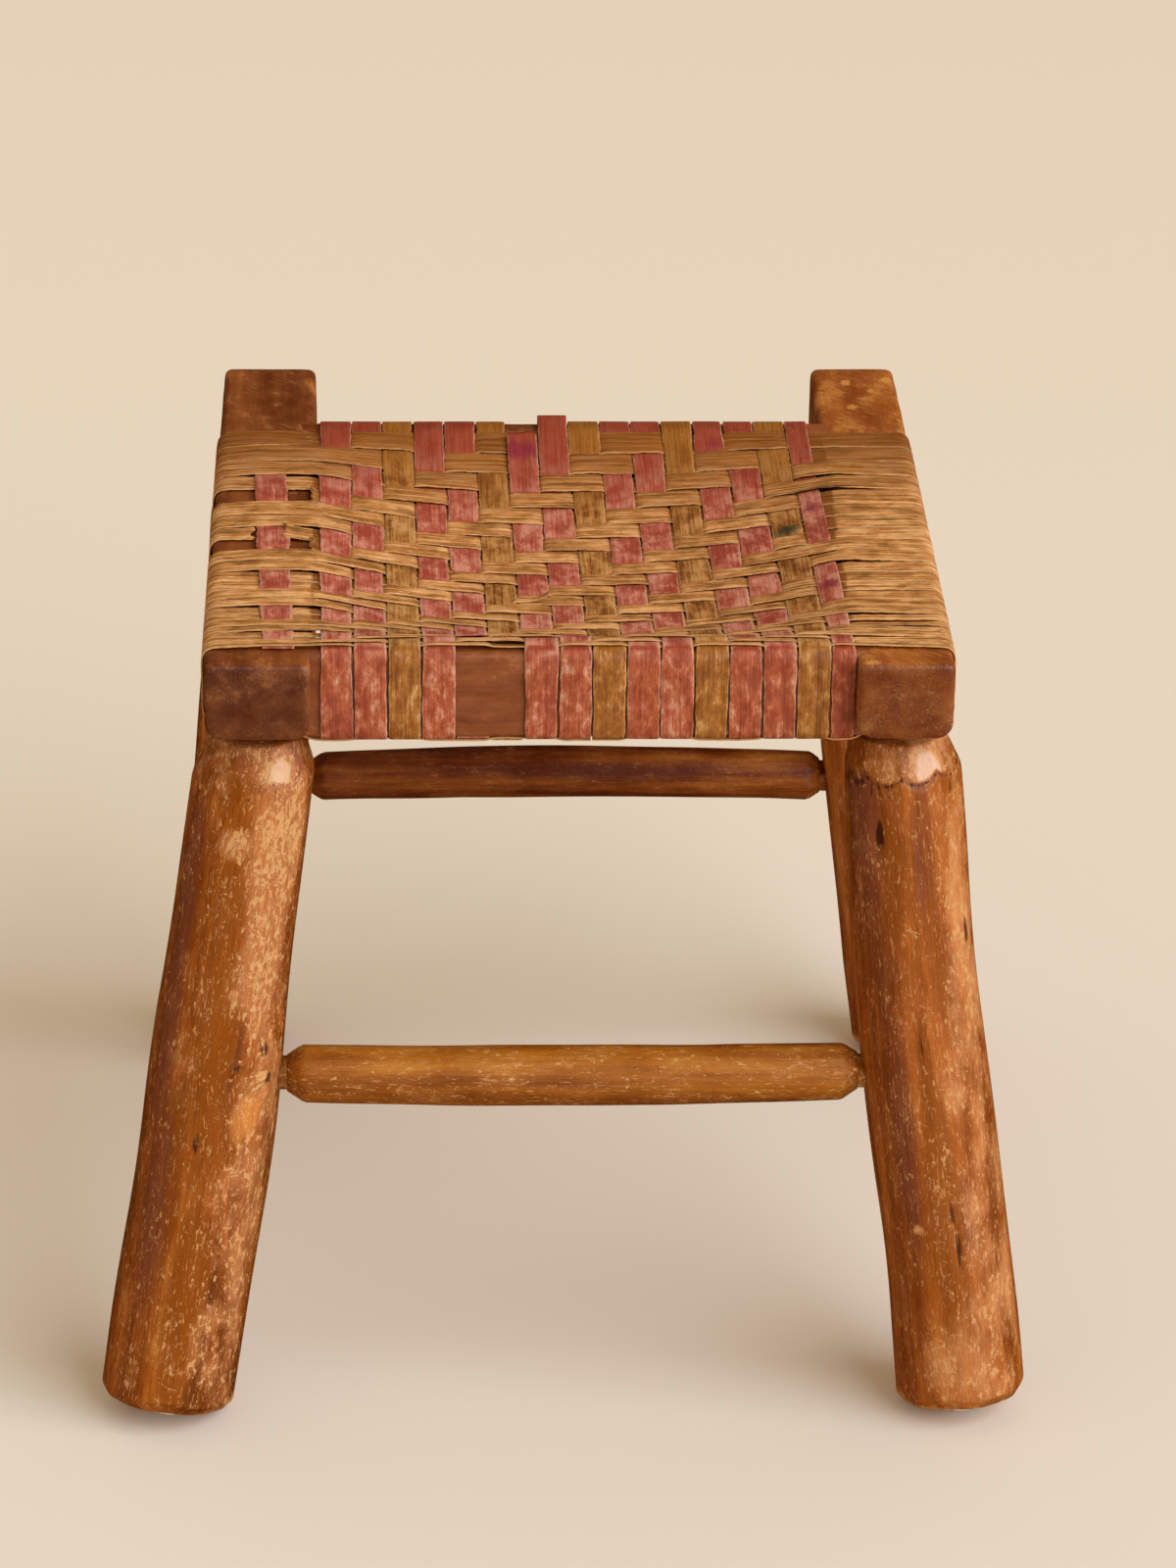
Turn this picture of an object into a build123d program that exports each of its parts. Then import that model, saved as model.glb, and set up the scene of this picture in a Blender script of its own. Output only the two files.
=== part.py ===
from build123d import *
import os
from collections import namedtuple
from math import cos, hypot, radians, sin

# Low stool of whittled logs with a seat woven from flat wood splints.
# All lengths are millimetres. X runs to the right, Y to the back, Z up, and the floor is z = 0.
# The origin lies in the middle of the floor space that the stool covers.

os.makedirs("parts", exist_ok=True)

# Side rails
seat_height = 396.6
seat_width = 352.0
rail_length = 381.5
rail_height = 39.2
left_rail_width = 50.2
right_rail_width = 46.0
rail_toe_in = 2.0
rail_top_radius = 4.0
rail_bottom_radius = 8.0
rail_end_chamfer = 1.2

# The seat's middle, measured from the middle of the feet
seat_middle_x = 3.34
seat_middle_y = 2.97

# Cross rails, with a stub tenon at each end
cross_rail_height = 44.2
cross_rail_thickness = 16.0
cross_rail_radius = 3.0
front_rail_setback = 13.8
back_rail_setback = 75.8
cross_tenon_height = 24.0
cross_tenon_thickness = 8.0
cross_tenon_length = 12.0
fit_clearance = 0.1

# Legs: a log with a whittled shoulder, a tenon into the side rail, and a foot cut square to the log
leg_overrun = 4.0
shoulder_gap = 8.9
shoulder_width = 42.0
shoulder_slope_share = 0.36
shoulder_facets = 9
leg_tenon_diameter = 20.0
leg_tenon_depth = 26.0
leg_setback = 34.0
foot_chamfer = 3.2
front_sole_slant = 5
foot_chamfer_slope_share = 1.0

# Foot positions, measured from the seat's middle to the middle of each foot
front_foot_y = -194.8
rear_foot_y = 190.8
front_left_foot_x = -198.5
front_right_foot_x = 191.3
rear_left_foot_x = -177.0
rear_right_foot_x = 194.0

# Girth of each log at the foot, and how far it bends sideways
front_left_foot_diameter = 66.9
front_right_foot_diameter = 65.4
rear_left_foot_diameter = 62.0
rear_right_foot_diameter = 62.0
front_left_bend = 2.4
front_right_bend = -3.6
rear_left_bend = 2.0
rear_right_bend = -2.0

# Stretchers, with whittled ends and a tenon in each leg
front_stretcher_height = 175.6
rear_stretcher_height = 169.8
front_stretcher_diameter = 30.0
rear_stretcher_diameter = 28.0
stretcher_facets = 8
stretcher_slope_share = 0.62
stretcher_tenon_diameter = 17.0
stretcher_tenon_end = 2.0
stretcher_shoulder_gap = 2.4
front_stretcher_bow = -2.0
rear_stretcher_bow = 3.0

# Glides, and the nail that holds each one
glide_diameter = 25.0
glide_thickness = 6.0
glide_round = 0.8
glide_wear = 1.1
nail_diameter = 2.2
nail_length = 20.0
nail_head_diameter = 6.0
nail_head_thickness = 1.2
nail_sink = 2.4

# Splints
splint_thickness = 0.8
splint_clearance = 0.45
weft_count = 23
weft_start_gap = 18.0
weft_end_gap = 4.0
weft_crowding_share = 0.6
weft_bow = 10.0
row_gap_share = 0.04
warp_count = 16
warp_gap = 0.5
narrow_warp_width = 11.0
front_warp_start = 4.4
back_warp_start = 2.4
front_warp_end = 0.4
back_warp_end = 6.9
rail_splint_width = 15.6
rail_splint_back_share = 0.50
rail_splint_front_share = 0.70
rail_splint_tail = 3.5
torn_end_gap = 2.2
broken_warp_lift = 4.0
broken_warp_rows = 3
loose_warp_rise = 3.5
tenon_clearance = 1.4
wrap_turn = 30

# Sag of the seat
seat_sag = 18.0
sag_low_share = 0.71
sag_across_power = 2.3
sag_along_power = 2.9

# How the splints run: the first wefts that each oddity touches, counted from the back
warp_cut_row = 12
weft_cut_column = 8
broken_front_warps = (5, 6)
broken_front_row = 21
broken_back_warp = 7
raised_warp = 8
torn_left_wefts = (5, 9)
split_left_weft = 8
gather_start_row = 14
gather_row = 21
long_float_rows = (1, 2, 5, 6, 7, 8, 11, 12, 13, 14, 17, 18, 21, 22)

# Places worked out from the sizes above
left_outer = seat_middle_x - seat_width / 2
right_outer = seat_middle_x + seat_width / 2
left_inner = left_outer + left_rail_width
right_inner = right_outer - right_rail_width
rail_front = seat_middle_y - rail_length / 2
rail_back = seat_middle_y + rail_length / 2
rail_bottom = seat_height - rail_height
front_face = rail_front + front_rail_setback
back_face = rail_back - back_rail_setback
cross_bottom = seat_height - cross_rail_height
shoulder_z = rail_bottom - shoulder_gap

Leg = namedtuple("Leg", "name side end foot_x foot_diameter girth_shares bend bend_shares turn")
Line = namedtuple("Line", "back front")
Station = namedtuple("Station", "first second outward")

# Girth and bend of each log, from the foot up to the shoulder, as shares of its foot's diameter and its bend
leg_height_shares = (0.0, 0.22, 0.40, 0.55, 0.70, 0.86, 1.0)
legs = (
    Leg("front_left_leg", -1, -1, front_left_foot_x, front_left_foot_diameter,
        (1.0, 0.99, 0.985, 0.975, 0.91, 0.89, 0.86), front_left_bend, (0.0, 0.3, 1.0, 0.5, 0.45, 0.1, 0.0), 10),
    Leg("front_right_leg", 1, -1, front_right_foot_x, front_right_foot_diameter,
        (1.0, 0.955, 0.965, 0.94, 0.915, 0.88, 0.85), front_right_bend, (0.0, -0.15, 0.45, 0.8, 1.0, 0.3, 0.0),
        26),
    Leg("rear_left_leg", -1, 1, rear_left_foot_x, rear_left_foot_diameter,
        (1.0, 0.99, 0.98, 0.97, 0.96, 0.955, 0.95), rear_left_bend, (0.0, 0.4, 0.8, 1.0, 0.7, 0.3, 0.0), 5),
    Leg("rear_right_leg", 1, 1, rear_right_foot_x, rear_right_foot_diameter,
        (1.0, 0.99, 0.98, 0.96, 0.95, 0.94, 0.93), rear_right_bend, (0.0, 0.3, 0.8, 1.0, 0.7, 0.3, 0.0), 17),
)

# Girth of a stretcher between its shoulders, as shares of its diameter, and where each ring lies
stretcher_place_shares = (0.0, 0.2, 0.45, 0.7, 1.0)
stretcher_girth_shares = (0.93, 0.98, 1.0, 0.98, 0.94)


def finish(piece, name):
    """Label one finished piece and write it to its own file."""
    piece.part.label = name
    export_step(piece.part, "parts/" + name + ".step")


# Legs first, because the rails and stretchers take their mortises from them

def leg_top(leg):
    """Where the middle of a leg's log meets its shoulder."""
    if leg.side < 0:
        x = left_outer + left_rail_width / 2
    else:
        x = right_outer - right_rail_width / 2
    if leg.end < 0:
        y = rail_front + leg_setback
    else:
        y = rail_back - leg_setback
    return Vector(x, y, shoulder_z)


def floor_point(leg):
    """Where the middle of a leg's log would meet the floor."""
    y = front_foot_y if leg.end < 0 else rear_foot_y
    return Vector(seat_middle_x + leg.foot_x, seat_middle_y + y, 0)


def sole_normal(leg):
    """Way up from a leg's sawn sole: along the log, and a little steeper on the front legs."""
    axis = (leg_top(leg) - floor_point(leg)).normalized()
    return axis.rotate(Axis.X, -front_sole_slant) if leg.end < 0 else axis


def leg_foot(leg):
    """Where the middle of a leg's log meets its sole, so high that its glide rests on a worn edge."""
    upright = sole_normal(leg)
    spread = hypot(upright.X, upright.Y)
    rise = glide_thickness * upright.Z + glide_diameter / 2 * spread - glide_wear
    return floor_point(leg) + Vector(0, 0, rise)


def leg_axis(leg):
    """Direction from the foot to the shoulder."""
    return (leg_top(leg) - leg_foot(leg)).normalized()


def leg_point(leg, z):
    """Middle of the straight log at one height."""
    top, foot = leg_top(leg), leg_foot(leg)
    return foot + (top - foot) * ((z - foot.Z) / (top.Z - foot.Z))


def tenon_rise(leg):
    """The way a leg's tenon goes, from the shoulder to its end in the rail."""
    return leg_point(leg, rail_bottom + leg_tenon_depth) - leg_top(leg)


def share_at(shares, height_share):
    """One of a leg's shares at a height between its rings."""
    rings = list(zip(leg_height_shares, shares))
    for (low, first), (high, second) in zip(rings, rings[1:]):
        if height_share <= high:
            return first + (second - first) * (height_share - low) / (high - low)
    return shares[-1]


def stretcher_z(end):
    """Height of the stretcher between the two front or the two rear legs."""
    return front_stretcher_height if end < 0 else rear_stretcher_height


def stretcher_y(end):
    """Y of the stretcher between the two front or the two rear legs."""
    places = [leg_point(leg, stretcher_z(end)).Y for leg in legs if leg.end == end]
    return sum(places) / len(places)


def inner_side(leg):
    """X of the side of a leg's log that faces the other leg, at the height of their stretcher."""
    z = stretcher_z(leg.end)
    height_share = (z + leg_overrun) / (shoulder_z + leg_overrun)
    radius = leg.foot_diameter / 2 * share_at(leg.girth_shares, height_share)
    bend = leg.bend * share_at(leg.bend_shares, height_share)
    return leg_point(leg, z).X + bend - leg.side * radius


for leg in legs:
    top, foot, axis = leg_top(leg), leg_foot(leg), leg_axis(leg)
    foot_plane = Plane(origin=foot, z_dir=sole_normal(leg))
    log_bottom = -leg_overrun
    log_height = shoulder_z - log_bottom
    mortise_x = leg_point(leg, stretcher_z(leg.end)).X - leg.side * stretcher_tenon_end
    with BuildPart() as log:
        for height_share, girth_share, bend_share in zip(leg_height_shares, leg.girth_shares, leg.bend_shares):
            ring_z = log_bottom + log_height * height_share
            middle = leg_point(leg, ring_z)
            with BuildSketch(Plane.XY.offset(ring_z)):
                with Locations((middle.X + leg.bend * bend_share, middle.Y)):
                    Circle(leg.foot_diameter * girth_share / 2)
        loft(ruled=True)
        # Whittled shoulder: the log inside a tall faceted cone that is widest at the floor
        with BuildSketch(Plane.XY.offset(shoulder_z)):
            with Locations((top.X, top.Y)):
                RegularPolygon(shoulder_width / 2, shoulder_facets, major_radius=False, rotation=leg.turn)
        cone_foot = leg_point(leg, log_bottom)
        with BuildSketch(Plane.XY.offset(log_bottom)):
            with Locations((cone_foot.X, cone_foot.Y)):
                RegularPolygon(shoulder_width / 2 + log_height * shoulder_slope_share, shoulder_facets,
                               major_radius=False, rotation=leg.turn)
        loft(ruled=True, mode=Mode.INTERSECT)
        # Foot sawn square to the log, with its sharp edge taken off by a wide cone
        foot_radius = leg.foot_diameter / 2
        with BuildSketch(foot_plane):
            Circle(foot_radius - foot_chamfer)
        with BuildSketch(foot_plane.offset(seat_height)):
            Circle(foot_radius - foot_chamfer + seat_height * foot_chamfer_slope_share)
        loft(ruled=True, mode=Mode.INTERSECT)
        # Tenon into the side rail
        with BuildSketch(Plane.XY.offset(shoulder_z)):
            with Locations((top.X, top.Y)):
                Circle(leg_tenon_diameter / 2)
        extrude(amount=tenon_rise(leg).length, dir=axis)
        # Mortise for the stretcher
        mortise_end = Plane(origin=(mortise_x, stretcher_y(leg.end), stretcher_z(leg.end)), x_dir=(0, 1, 0),
                            z_dir=(-leg.side, 0, 0))
        with BuildSketch(mortise_end):
            Circle(stretcher_tenon_diameter / 2 + fit_clearance)
        extrude(amount=leg.foot_diameter, mode=Mode.SUBTRACT)
        # Hole for the glide's nail
        with BuildSketch(foot_plane):
            Circle(nail_diameter / 2 + fit_clearance)
        extrude(amount=nail_length, mode=Mode.SUBTRACT)
    finish(log, leg.name)

# Glides lie flat on the sawn feet, and are worn level where they touch the floor
for leg in legs:
    foot_plane = Plane(origin=leg_foot(leg), z_dir=-sole_normal(leg))
    with BuildPart() as glide:
        with BuildSketch(foot_plane):
            Circle(glide_diameter / 2)
        extrude(amount=glide_thickness)
        rim = glide.edges().filter_by(GeomType.CIRCLE).sort_by(Axis.Z)[0]
        fillet(rim, glide_round)
        with BuildSketch(foot_plane):
            Circle(nail_diameter / 2 + fit_clearance)
        extrude(amount=glide_thickness, mode=Mode.SUBTRACT)
        with BuildSketch(foot_plane.offset(glide_thickness - nail_sink)):
            Circle(nail_head_diameter / 2 + fit_clearance)
        extrude(amount=nail_sink, mode=Mode.SUBTRACT)
        split(bisect_by=Plane.XY, keep=Keep.TOP)
    finish(glide, leg.name.replace("leg", "glide"))

with BuildPart() as glide_nails:
    for leg in legs:
        head_seat = Plane(origin=leg_foot(leg), z_dir=-sole_normal(leg)).offset(glide_thickness - nail_sink)
        with BuildSketch(head_seat):
            Circle(nail_head_diameter / 2)
        extrude(amount=nail_head_thickness)
        with BuildSketch(head_seat):
            Circle(nail_diameter / 2)
        extrude(amount=-nail_length)
finish(glide_nails, "glide_nails")

# Stretchers
for name, end, diameter, bow in (("front_stretcher", -1, front_stretcher_diameter, front_stretcher_bow),
                                 ("rear_stretcher", 1, rear_stretcher_diameter, rear_stretcher_bow)):
    left_leg, right_leg = [leg for leg in legs if leg.end == end]
    middle_y, middle_z = stretcher_y(end), stretcher_z(end)
    left, right = leg_point(left_leg, middle_z), leg_point(right_leg, middle_z)
    left_side = inner_side(left_leg) + stretcher_shoulder_gap
    right_side = inner_side(right_leg) - stretcher_shoulder_gap
    span = right_side - left_side
    with BuildPart() as stretcher:
        for place_share, girth_share in zip(stretcher_place_shares, stretcher_girth_shares):
            rise = 4 * bow * place_share * (1 - place_share)
            with BuildSketch(Plane(origin=(left_side + span * place_share, middle_y, middle_z + rise),
                                   x_dir=(0, 1, 0), z_dir=(1, 0, 0))):
                Circle(diameter * girth_share / 2)
        loft(ruled=True)
        # Whittled ends: the round log inside a faceted cone from each side
        for start, way in ((left_side, 1), (right_side, -1)):
            tip = Plane(origin=(start, middle_y, middle_z), x_dir=(0, 1, 0), z_dir=(way, 0, 0))
            with BuildSketch(tip):
                RegularPolygon(stretcher_tenon_diameter / 2, stretcher_facets, major_radius=False)
            with BuildSketch(tip.offset(span)):
                RegularPolygon(stretcher_tenon_diameter / 2 + span * stretcher_slope_share, stretcher_facets,
                               major_radius=False)
            loft(ruled=True, mode=Mode.INTERSECT)
        for start, leg_middle, way in ((left_side, left.X, -1), (right_side, right.X, 1)):
            with BuildSketch(Plane(origin=(start, middle_y, middle_z), x_dir=(0, 1, 0),
                                   z_dir=(way, 0, 0))):
                Circle(stretcher_tenon_diameter / 2)
            extrude(amount=abs(start - leg_middle) - stretcher_tenon_end)
    finish(stretcher, name)


# Side rails, a little narrower at the back, with stub mortises for the cross rails and the leg tenons

def rail_outer(side, y):
    """X of a side rail's outer face at one place along it."""
    toe = rail_toe_in * (y - rail_front) / rail_length
    return left_outer + toe if side < 0 else right_outer - toe


for name, side in (("left_side_rail", -1), ("right_side_rail", 1)):
    inner = left_inner if side < 0 else right_inner
    with BuildPart() as side_rail:
        for y in (rail_front, rail_back):
            outer = rail_outer(side, y)
            with BuildSketch(Plane(origin=((inner + outer) / 2, y, seat_height - rail_height / 2),
                                   x_dir=(1, 0, 0), z_dir=(0, -1, 0))):
                block = Rectangle(abs(outer - inner), rail_height)
                fillet(block.vertices().group_by(Axis.Z)[0], rail_bottom_radius)
                fillet(block.vertices().group_by(Axis.Z)[-1], rail_top_radius)
        loft(ruled=True)
        ends = side_rail.faces().sort_by(Axis.Y)
        chamfer(ends[0].edges() + ends[-1].edges(), rail_end_chamfer)
        for y in (front_face + cross_rail_thickness / 2, back_face - cross_rail_thickness / 2):
            with Locations((inner + side * cross_tenon_length / 2, y, seat_height - cross_rail_height / 2)):
                Box(cross_tenon_length, cross_tenon_thickness + 2 * fit_clearance,
                    cross_tenon_height + 2 * fit_clearance, mode=Mode.SUBTRACT)
        for leg in [leg for leg in legs if leg.side == side]:
            top = leg_top(leg)
            with BuildSketch(Plane.XY.offset(shoulder_z)):
                with Locations((top.X, top.Y)):
                    Circle(leg_tenon_diameter / 2 + fit_clearance)
            extrude(amount=tenon_rise(leg).length, dir=leg_axis(leg), mode=Mode.SUBTRACT)
    finish(side_rail, name)

for name, middle_y in (("front_cross_rail", front_face + cross_rail_thickness / 2),
                       ("back_cross_rail", back_face - cross_rail_thickness / 2)):
    with BuildPart() as cross_rail:
        with BuildSketch(Plane(origin=(left_inner, middle_y, seat_height - cross_rail_height / 2),
                               x_dir=(0, 1, 0), z_dir=(1, 0, 0))):
            RectangleRounded(cross_rail_thickness, cross_rail_height, cross_rail_radius)
        extrude(amount=right_inner - left_inner)
        with Locations(((left_inner + right_inner) / 2, middle_y, seat_height - cross_rail_height / 2)):
            Box(right_inner - left_inner + 2 * cross_tenon_length, cross_tenon_thickness, cross_tenon_height)
    finish(cross_rail, name)

# The weave. Warps run from front to back round the cross rails, wefts from side to side round the side
# rails. Both layers share one sagging surface: at a crossing each splint lies one lift above or below it.
lift = (splint_thickness + splint_clearance) / 2
skin = splint_clearance + splint_thickness / 2
top_level = seat_height + skin + lift
under_level = cross_bottom - skin - lift
first_row_y = back_face - weft_start_gap
row_run = first_row_y - front_face - weft_end_gap
opening_middle = (left_inner + right_inner) / 2
opening_half = (right_inner - left_inner) / 2
warp_steps = warp_count - 1
front_warp_pitch = (2 * opening_half - front_warp_start - front_warp_end - narrow_warp_width) / warp_steps
back_warp_pitch = (2 * opening_half - back_warp_start - back_warp_end - narrow_warp_width) / warp_steps
warp_width = back_warp_pitch - warp_gap
sag_back = back_face - cross_rail_thickness
sag_front = front_face + cross_rail_thickness
sag_low = sag_back + (sag_front - sag_back) * sag_low_share


def row_share(row):
    """How far along the woven part a place counted in wefts lies: rows crowd towards the front."""
    share = row / weft_count
    return share + weft_crowding_share * share * (1 - share)


def across_share(x):
    """Place across the seat opening, from -1 at the left rail to 1 at the right one."""
    return max(-1, min(1, (x - opening_middle) / opening_half))


def line_x(line, row):
    """X of a splint's edge line at a place counted in wefts."""
    return line.back + (line.front - line.back) * row_share(row)


def row_y(row, x):
    """Y of a place counted in wefts. Wefts bow towards the back in the middle of the seat."""
    share = row / weft_count
    return first_row_y - row_run * row_share(row) - weft_bow * 4 * share * (1 - share) * across_share(x) ** 2


def sag_share(x, y):
    """How much of the full sag the seat has at one place."""
    reach = (sag_back if y > sag_low else sag_front) - sag_low
    along = min(1, abs((y - sag_low) / reach))
    return (1 - abs(across_share(x)) ** sag_across_power) * (1 - along ** sag_along_power)


def top_z(x, y):
    """Height of the seat's upper surface, between warps and wefts."""
    return top_level - seat_sag * sag_share(x, y)


def warp_lines():
    """Edge lines of the rail splint, as column 0, and of each warp, as a pair for each column."""
    half = rail_splint_width / 2
    back_x = rail_outer(-1, first_row_y) + left_rail_width * rail_splint_back_share
    front_x = rail_outer(-1, front_face) + left_rail_width * rail_splint_front_share
    lines = [(Line(back_x - half, front_x - half), Line(back_x + half, front_x + half))]
    for column in range(warp_count):
        width = narrow_warp_width if column == warp_count - 1 else warp_width
        back_x = left_inner + back_warp_start + back_warp_pitch * column
        front_x = left_inner + front_warp_start + front_warp_pitch * column
        lines.append((Line(back_x, front_x), Line(back_x + width, front_x + width)))
    return lines


def warp_over(row, column):
    """Whether the warp lies above the weft, in a two over, two under twill."""
    if column == warp_count:
        return row in long_float_rows
    if row <= broken_warp_rows and column == broken_back_warp:
        return True
    if column == 0 and row == 1:
        return False
    phase = max(column, 1)
    return (row + phase) % 4 in (1, 2)


def splint(name, stations):
    """One flat splint: a ruled band through its cross sections."""
    with BuildPart() as band:
        for station in stations:
            edge = station.second - station.first
            with BuildSketch(Plane(origin=(station.first + station.second) * 0.5, x_dir=edge,
                                   z_dir=edge.cross(station.outward))):
                Rectangle(edge.length, splint_thickness)
        loft(ruled=True)
    finish(band, name)


def corner(middle_across, middle_z, radius, start, stop):
    """Turning points of a wrap round one rounded edge: place, height and outward direction."""
    turns = []
    step = wrap_turn if stop > start else -wrap_turn
    for angle in range(start, stop + step, step):
        way_across, way_up = cos(radians(angle)), sin(radians(angle))
        turns.append((middle_across + radius * way_across, middle_z + radius * way_up, way_across, way_up))
    return turns


def every_end(cells):
    """All end stations of the cells, one after the other."""
    return [station for level, ends in cells for station in ends]


def merge(cells):
    """End stations on a flat run, without those between neighbouring cells of one level."""
    stations = []
    for place, (level, stations_of_cell) in enumerate(cells):
        first, last = stations_of_cell
        if place == 0 or cells[place - 1][0] != level:
            stations.append(first)
        if place == len(cells) - 1 or cells[place + 1][0] != level:
            stations.append(last)
    return stations


columns = warp_lines()
up = Vector(0, 0, 1)
down = Vector(0, 0, -1)


def extra_rise(column, row):
    """How far the raised end of the broken warp stands off the seat."""
    if column != broken_back_warp:
        return 0
    return broken_warp_lift * max(0, 1 - row / broken_warp_rows)


def warp_cell(column, row, on_top):
    """Level and two end stations of a warp where it crosses one weft, back end first on top."""
    over = warp_over(row, column)
    offset = lift if over else -lift
    ends = []
    for place in (row - 1 + row_gap_share, row - row_gap_share):
        points = []
        for line in columns[column]:
            x = line_x(line, place)
            y = row_y(place, x)
            z = top_z(x, y) + offset + extra_rise(column, place) if on_top else under_level - offset
            points.append(Vector(x, y, z))
        ends.append(Station(points[0], points[1], up if on_top else down))
    if not on_top:
        ends.reverse()
    return over, ends


def warp_wrap(column, face, way, rise, start, stop):
    """Stations of a warp round one edge of a cross rail. way is 1 at the back and -1 at the front."""
    at_top = start + stop in (90, 270)
    radius = cross_rail_radius + skin
    middle_y = face - way * cross_rail_radius
    middle_z = seat_height - cross_rail_radius + rise if at_top else cross_bottom + cross_rail_radius
    row = 0 if way > 0 else weft_count
    left_x, right_x = [line_x(line, row) for line in columns[column]]
    return [Station(Vector(left_x, y, z), Vector(right_x, y, z), Vector(0, way_y, way_z))
            for y, z, way_y, way_z in corner(middle_y, middle_z, radius, start, stop)]


def warp_edge(column):
    """Station of a warp on the inner edge of the back cross rail, where the seat starts to sag."""
    z = top_level + lift if warp_over(1, column) else top_level - lift
    left_x, right_x = [line_x(line, 0) for line in columns[column]]
    return Station(Vector(left_x, sag_back, z), Vector(right_x, sag_back, z), up)


def warp_stations(column):
    """The whole run of one warp, from the end where it starts."""
    rows = range(1, weft_count + 1)
    rise = loose_warp_rise if column == raised_warp else 0
    front_wrap = (warp_wrap(column, front_face, -1, 0, 90, 180)
                  + warp_wrap(column, front_face, -1, 0, 180, 270))
    back_wrap = (warp_wrap(column, back_face, 1, 0, -90, 0)
                 + warp_wrap(column, back_face, 1, rise, 0, 90) + [warp_edge(column)])
    top_cells = [warp_cell(column, row, True) for row in rows]
    under_cells = [warp_cell(column, row, False) for row in reversed(rows)]
    if column == broken_back_warp:
        return every_end(top_cells) + front_wrap + merge(under_cells)
    if column in broken_front_warps:
        return merge(under_cells) + back_wrap + every_end(top_cells[:broken_front_row])
    cut = weft_count - warp_cut_row
    return merge(under_cells[cut:]) + back_wrap + every_end(top_cells) + front_wrap + merge(under_cells[:cut])


def gathered(y, split_y, start_y, end_y):
    """Y of a weft's edge under a side rail, where the wefts bunch round the front leg's tenon."""
    middle = rail_front + leg_setback
    half = leg_tenon_diameter / 2 + tenon_clearance
    if y > start_y:
        return y
    if y > split_y:
        return start_y + (y - start_y) * (start_y - middle - half) / (start_y - split_y)
    return middle - half + (y - split_y) * (middle - half - end_y) / (split_y - end_y)


def side_y(place, bunched):
    """Y of a weft's edge at a side rail, beside it or bunched under it."""
    y = row_y(place, right_inner)
    if not bunched:
        return y
    return gathered(y, row_y(gather_row, right_inner), row_y(gather_start_row, right_inner),
                    row_y(weft_count, right_inner))


def weft_wrap(row, side, start, stop):
    """Stations of a weft round one edge of a side rail, front edge first."""
    at_top = abs(start + stop) in (90, 270) and max(start, stop) > 0 and min(start, stop) >= 0
    edge_radius = rail_top_radius if at_top else rail_bottom_radius
    middle_z = seat_height - edge_radius if at_top else rail_bottom + edge_radius
    rings = []
    for place in (row - row_gap_share, row - 1 + row_gap_share):
        y = side_y(place, not at_top)
        middle_x = rail_outer(side, y) - side * edge_radius
        rings.append([(Vector(x, y, z), Vector(way_x, 0, way_z))
                      for x, z, way_x, way_z in corner(middle_x, middle_z, edge_radius + skin, start, stop)])
    return [Station(front, back, outward) for (front, outward), (back, same) in zip(*rings)]


def weft_pass(row, side):
    """Station under a side rail's inner part, past the leg's tenon."""
    points = []
    for place in (row - row_gap_share, row - 1 + row_gap_share):
        rail_middle = left_outer + left_rail_width / 2 if side < 0 else right_outer - right_rail_width / 2
        x = rail_middle - side * (leg_tenon_diameter / 2 + 2 * tenon_clearance)
        points.append(Vector(x, side_y(place, True), rail_bottom - skin))
    return Station(points[0], points[1], down)


def weft_on_rail(row, x, z):
    """Station of a weft on top of a side rail."""
    points = []
    for place in (row - row_gap_share, row - 1 + row_gap_share):
        points.append(Vector(x, row_y(place, x), z))
    return Station(points[0], points[1], up)


def weft_at_edge(row, column, x, on_top):
    """Station of a weft at the inner edge of a side rail, on the level of the nearest crossing."""
    inward = lift if warp_over(row, column) else -lift
    if on_top:
        return weft_on_rail(row, x, top_level - inward)
    points = []
    for place in (row - row_gap_share, row - 1 + row_gap_share):
        points.append(Vector(x, row_y(place, x), under_level + inward))
    return Station(points[0], points[1], down)


def weft_cell(row, column, on_top):
    """Level and two end stations of a weft where it crosses one warp, left end first on top."""
    over = warp_over(row, column)
    offset = -lift if over else lift
    ends = []
    for line in columns[column]:
        points = []
        for place in (row - row_gap_share, row - 1 + row_gap_share):
            x = line_x(line, place)
            y = row_y(place, x)
            points.append(Vector(x, y, top_z(x, y) + offset if on_top else under_level - offset))
        ends.append(Station(points[0], points[1], up if on_top else down))
    if not on_top:
        ends.reverse()
    return over, ends


def weft_stations(row):
    """The whole run of one weft, from the end where it starts."""
    crossings = range(1, warp_count + 1)
    rail_cell = weft_cell(row, 0, True)[1]
    inner_edge = [weft_at_edge(row, 1, left_inner - rail_top_radius, True)]
    top_run = every_end([weft_cell(row, column, True) for column in crossings])
    under_cells = [weft_cell(row, column, False) for column in reversed(crossings)]
    right_side = ([weft_at_edge(row, warp_count, right_inner + rail_top_radius, True)]
                  + weft_wrap(row, 1, 90, 0) + weft_wrap(row, 1, 0, -90)
                  + [weft_pass(row, 1), weft_at_edge(row, warp_count, right_inner, False)])
    left_side = ([weft_at_edge(row, 1, left_inner, False), weft_pass(row, -1)]
                 + weft_wrap(row, -1, 270, 180) + weft_wrap(row, -1, 180, 90))
    if row in torn_left_wefts:
        return inner_edge + top_run + right_side + merge(under_cells)
    if row == split_left_weft:
        strip_left, strip_right = [line_x(line, row) for line in columns[0]]
        start = [weft_on_rail(row, strip_right + torn_end_gap, inner_edge[0].first.Z)]
        end = [weft_on_rail(row, strip_left - torn_end_gap, seat_height + skin)]
        return start + inner_edge + top_run + right_side + merge(under_cells) + left_side + end
    cut = warp_count - weft_cut_column
    return (merge(under_cells[cut:]) + left_side + rail_cell + inner_edge + top_run + right_side
            + merge(under_cells[:cut]))


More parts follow.
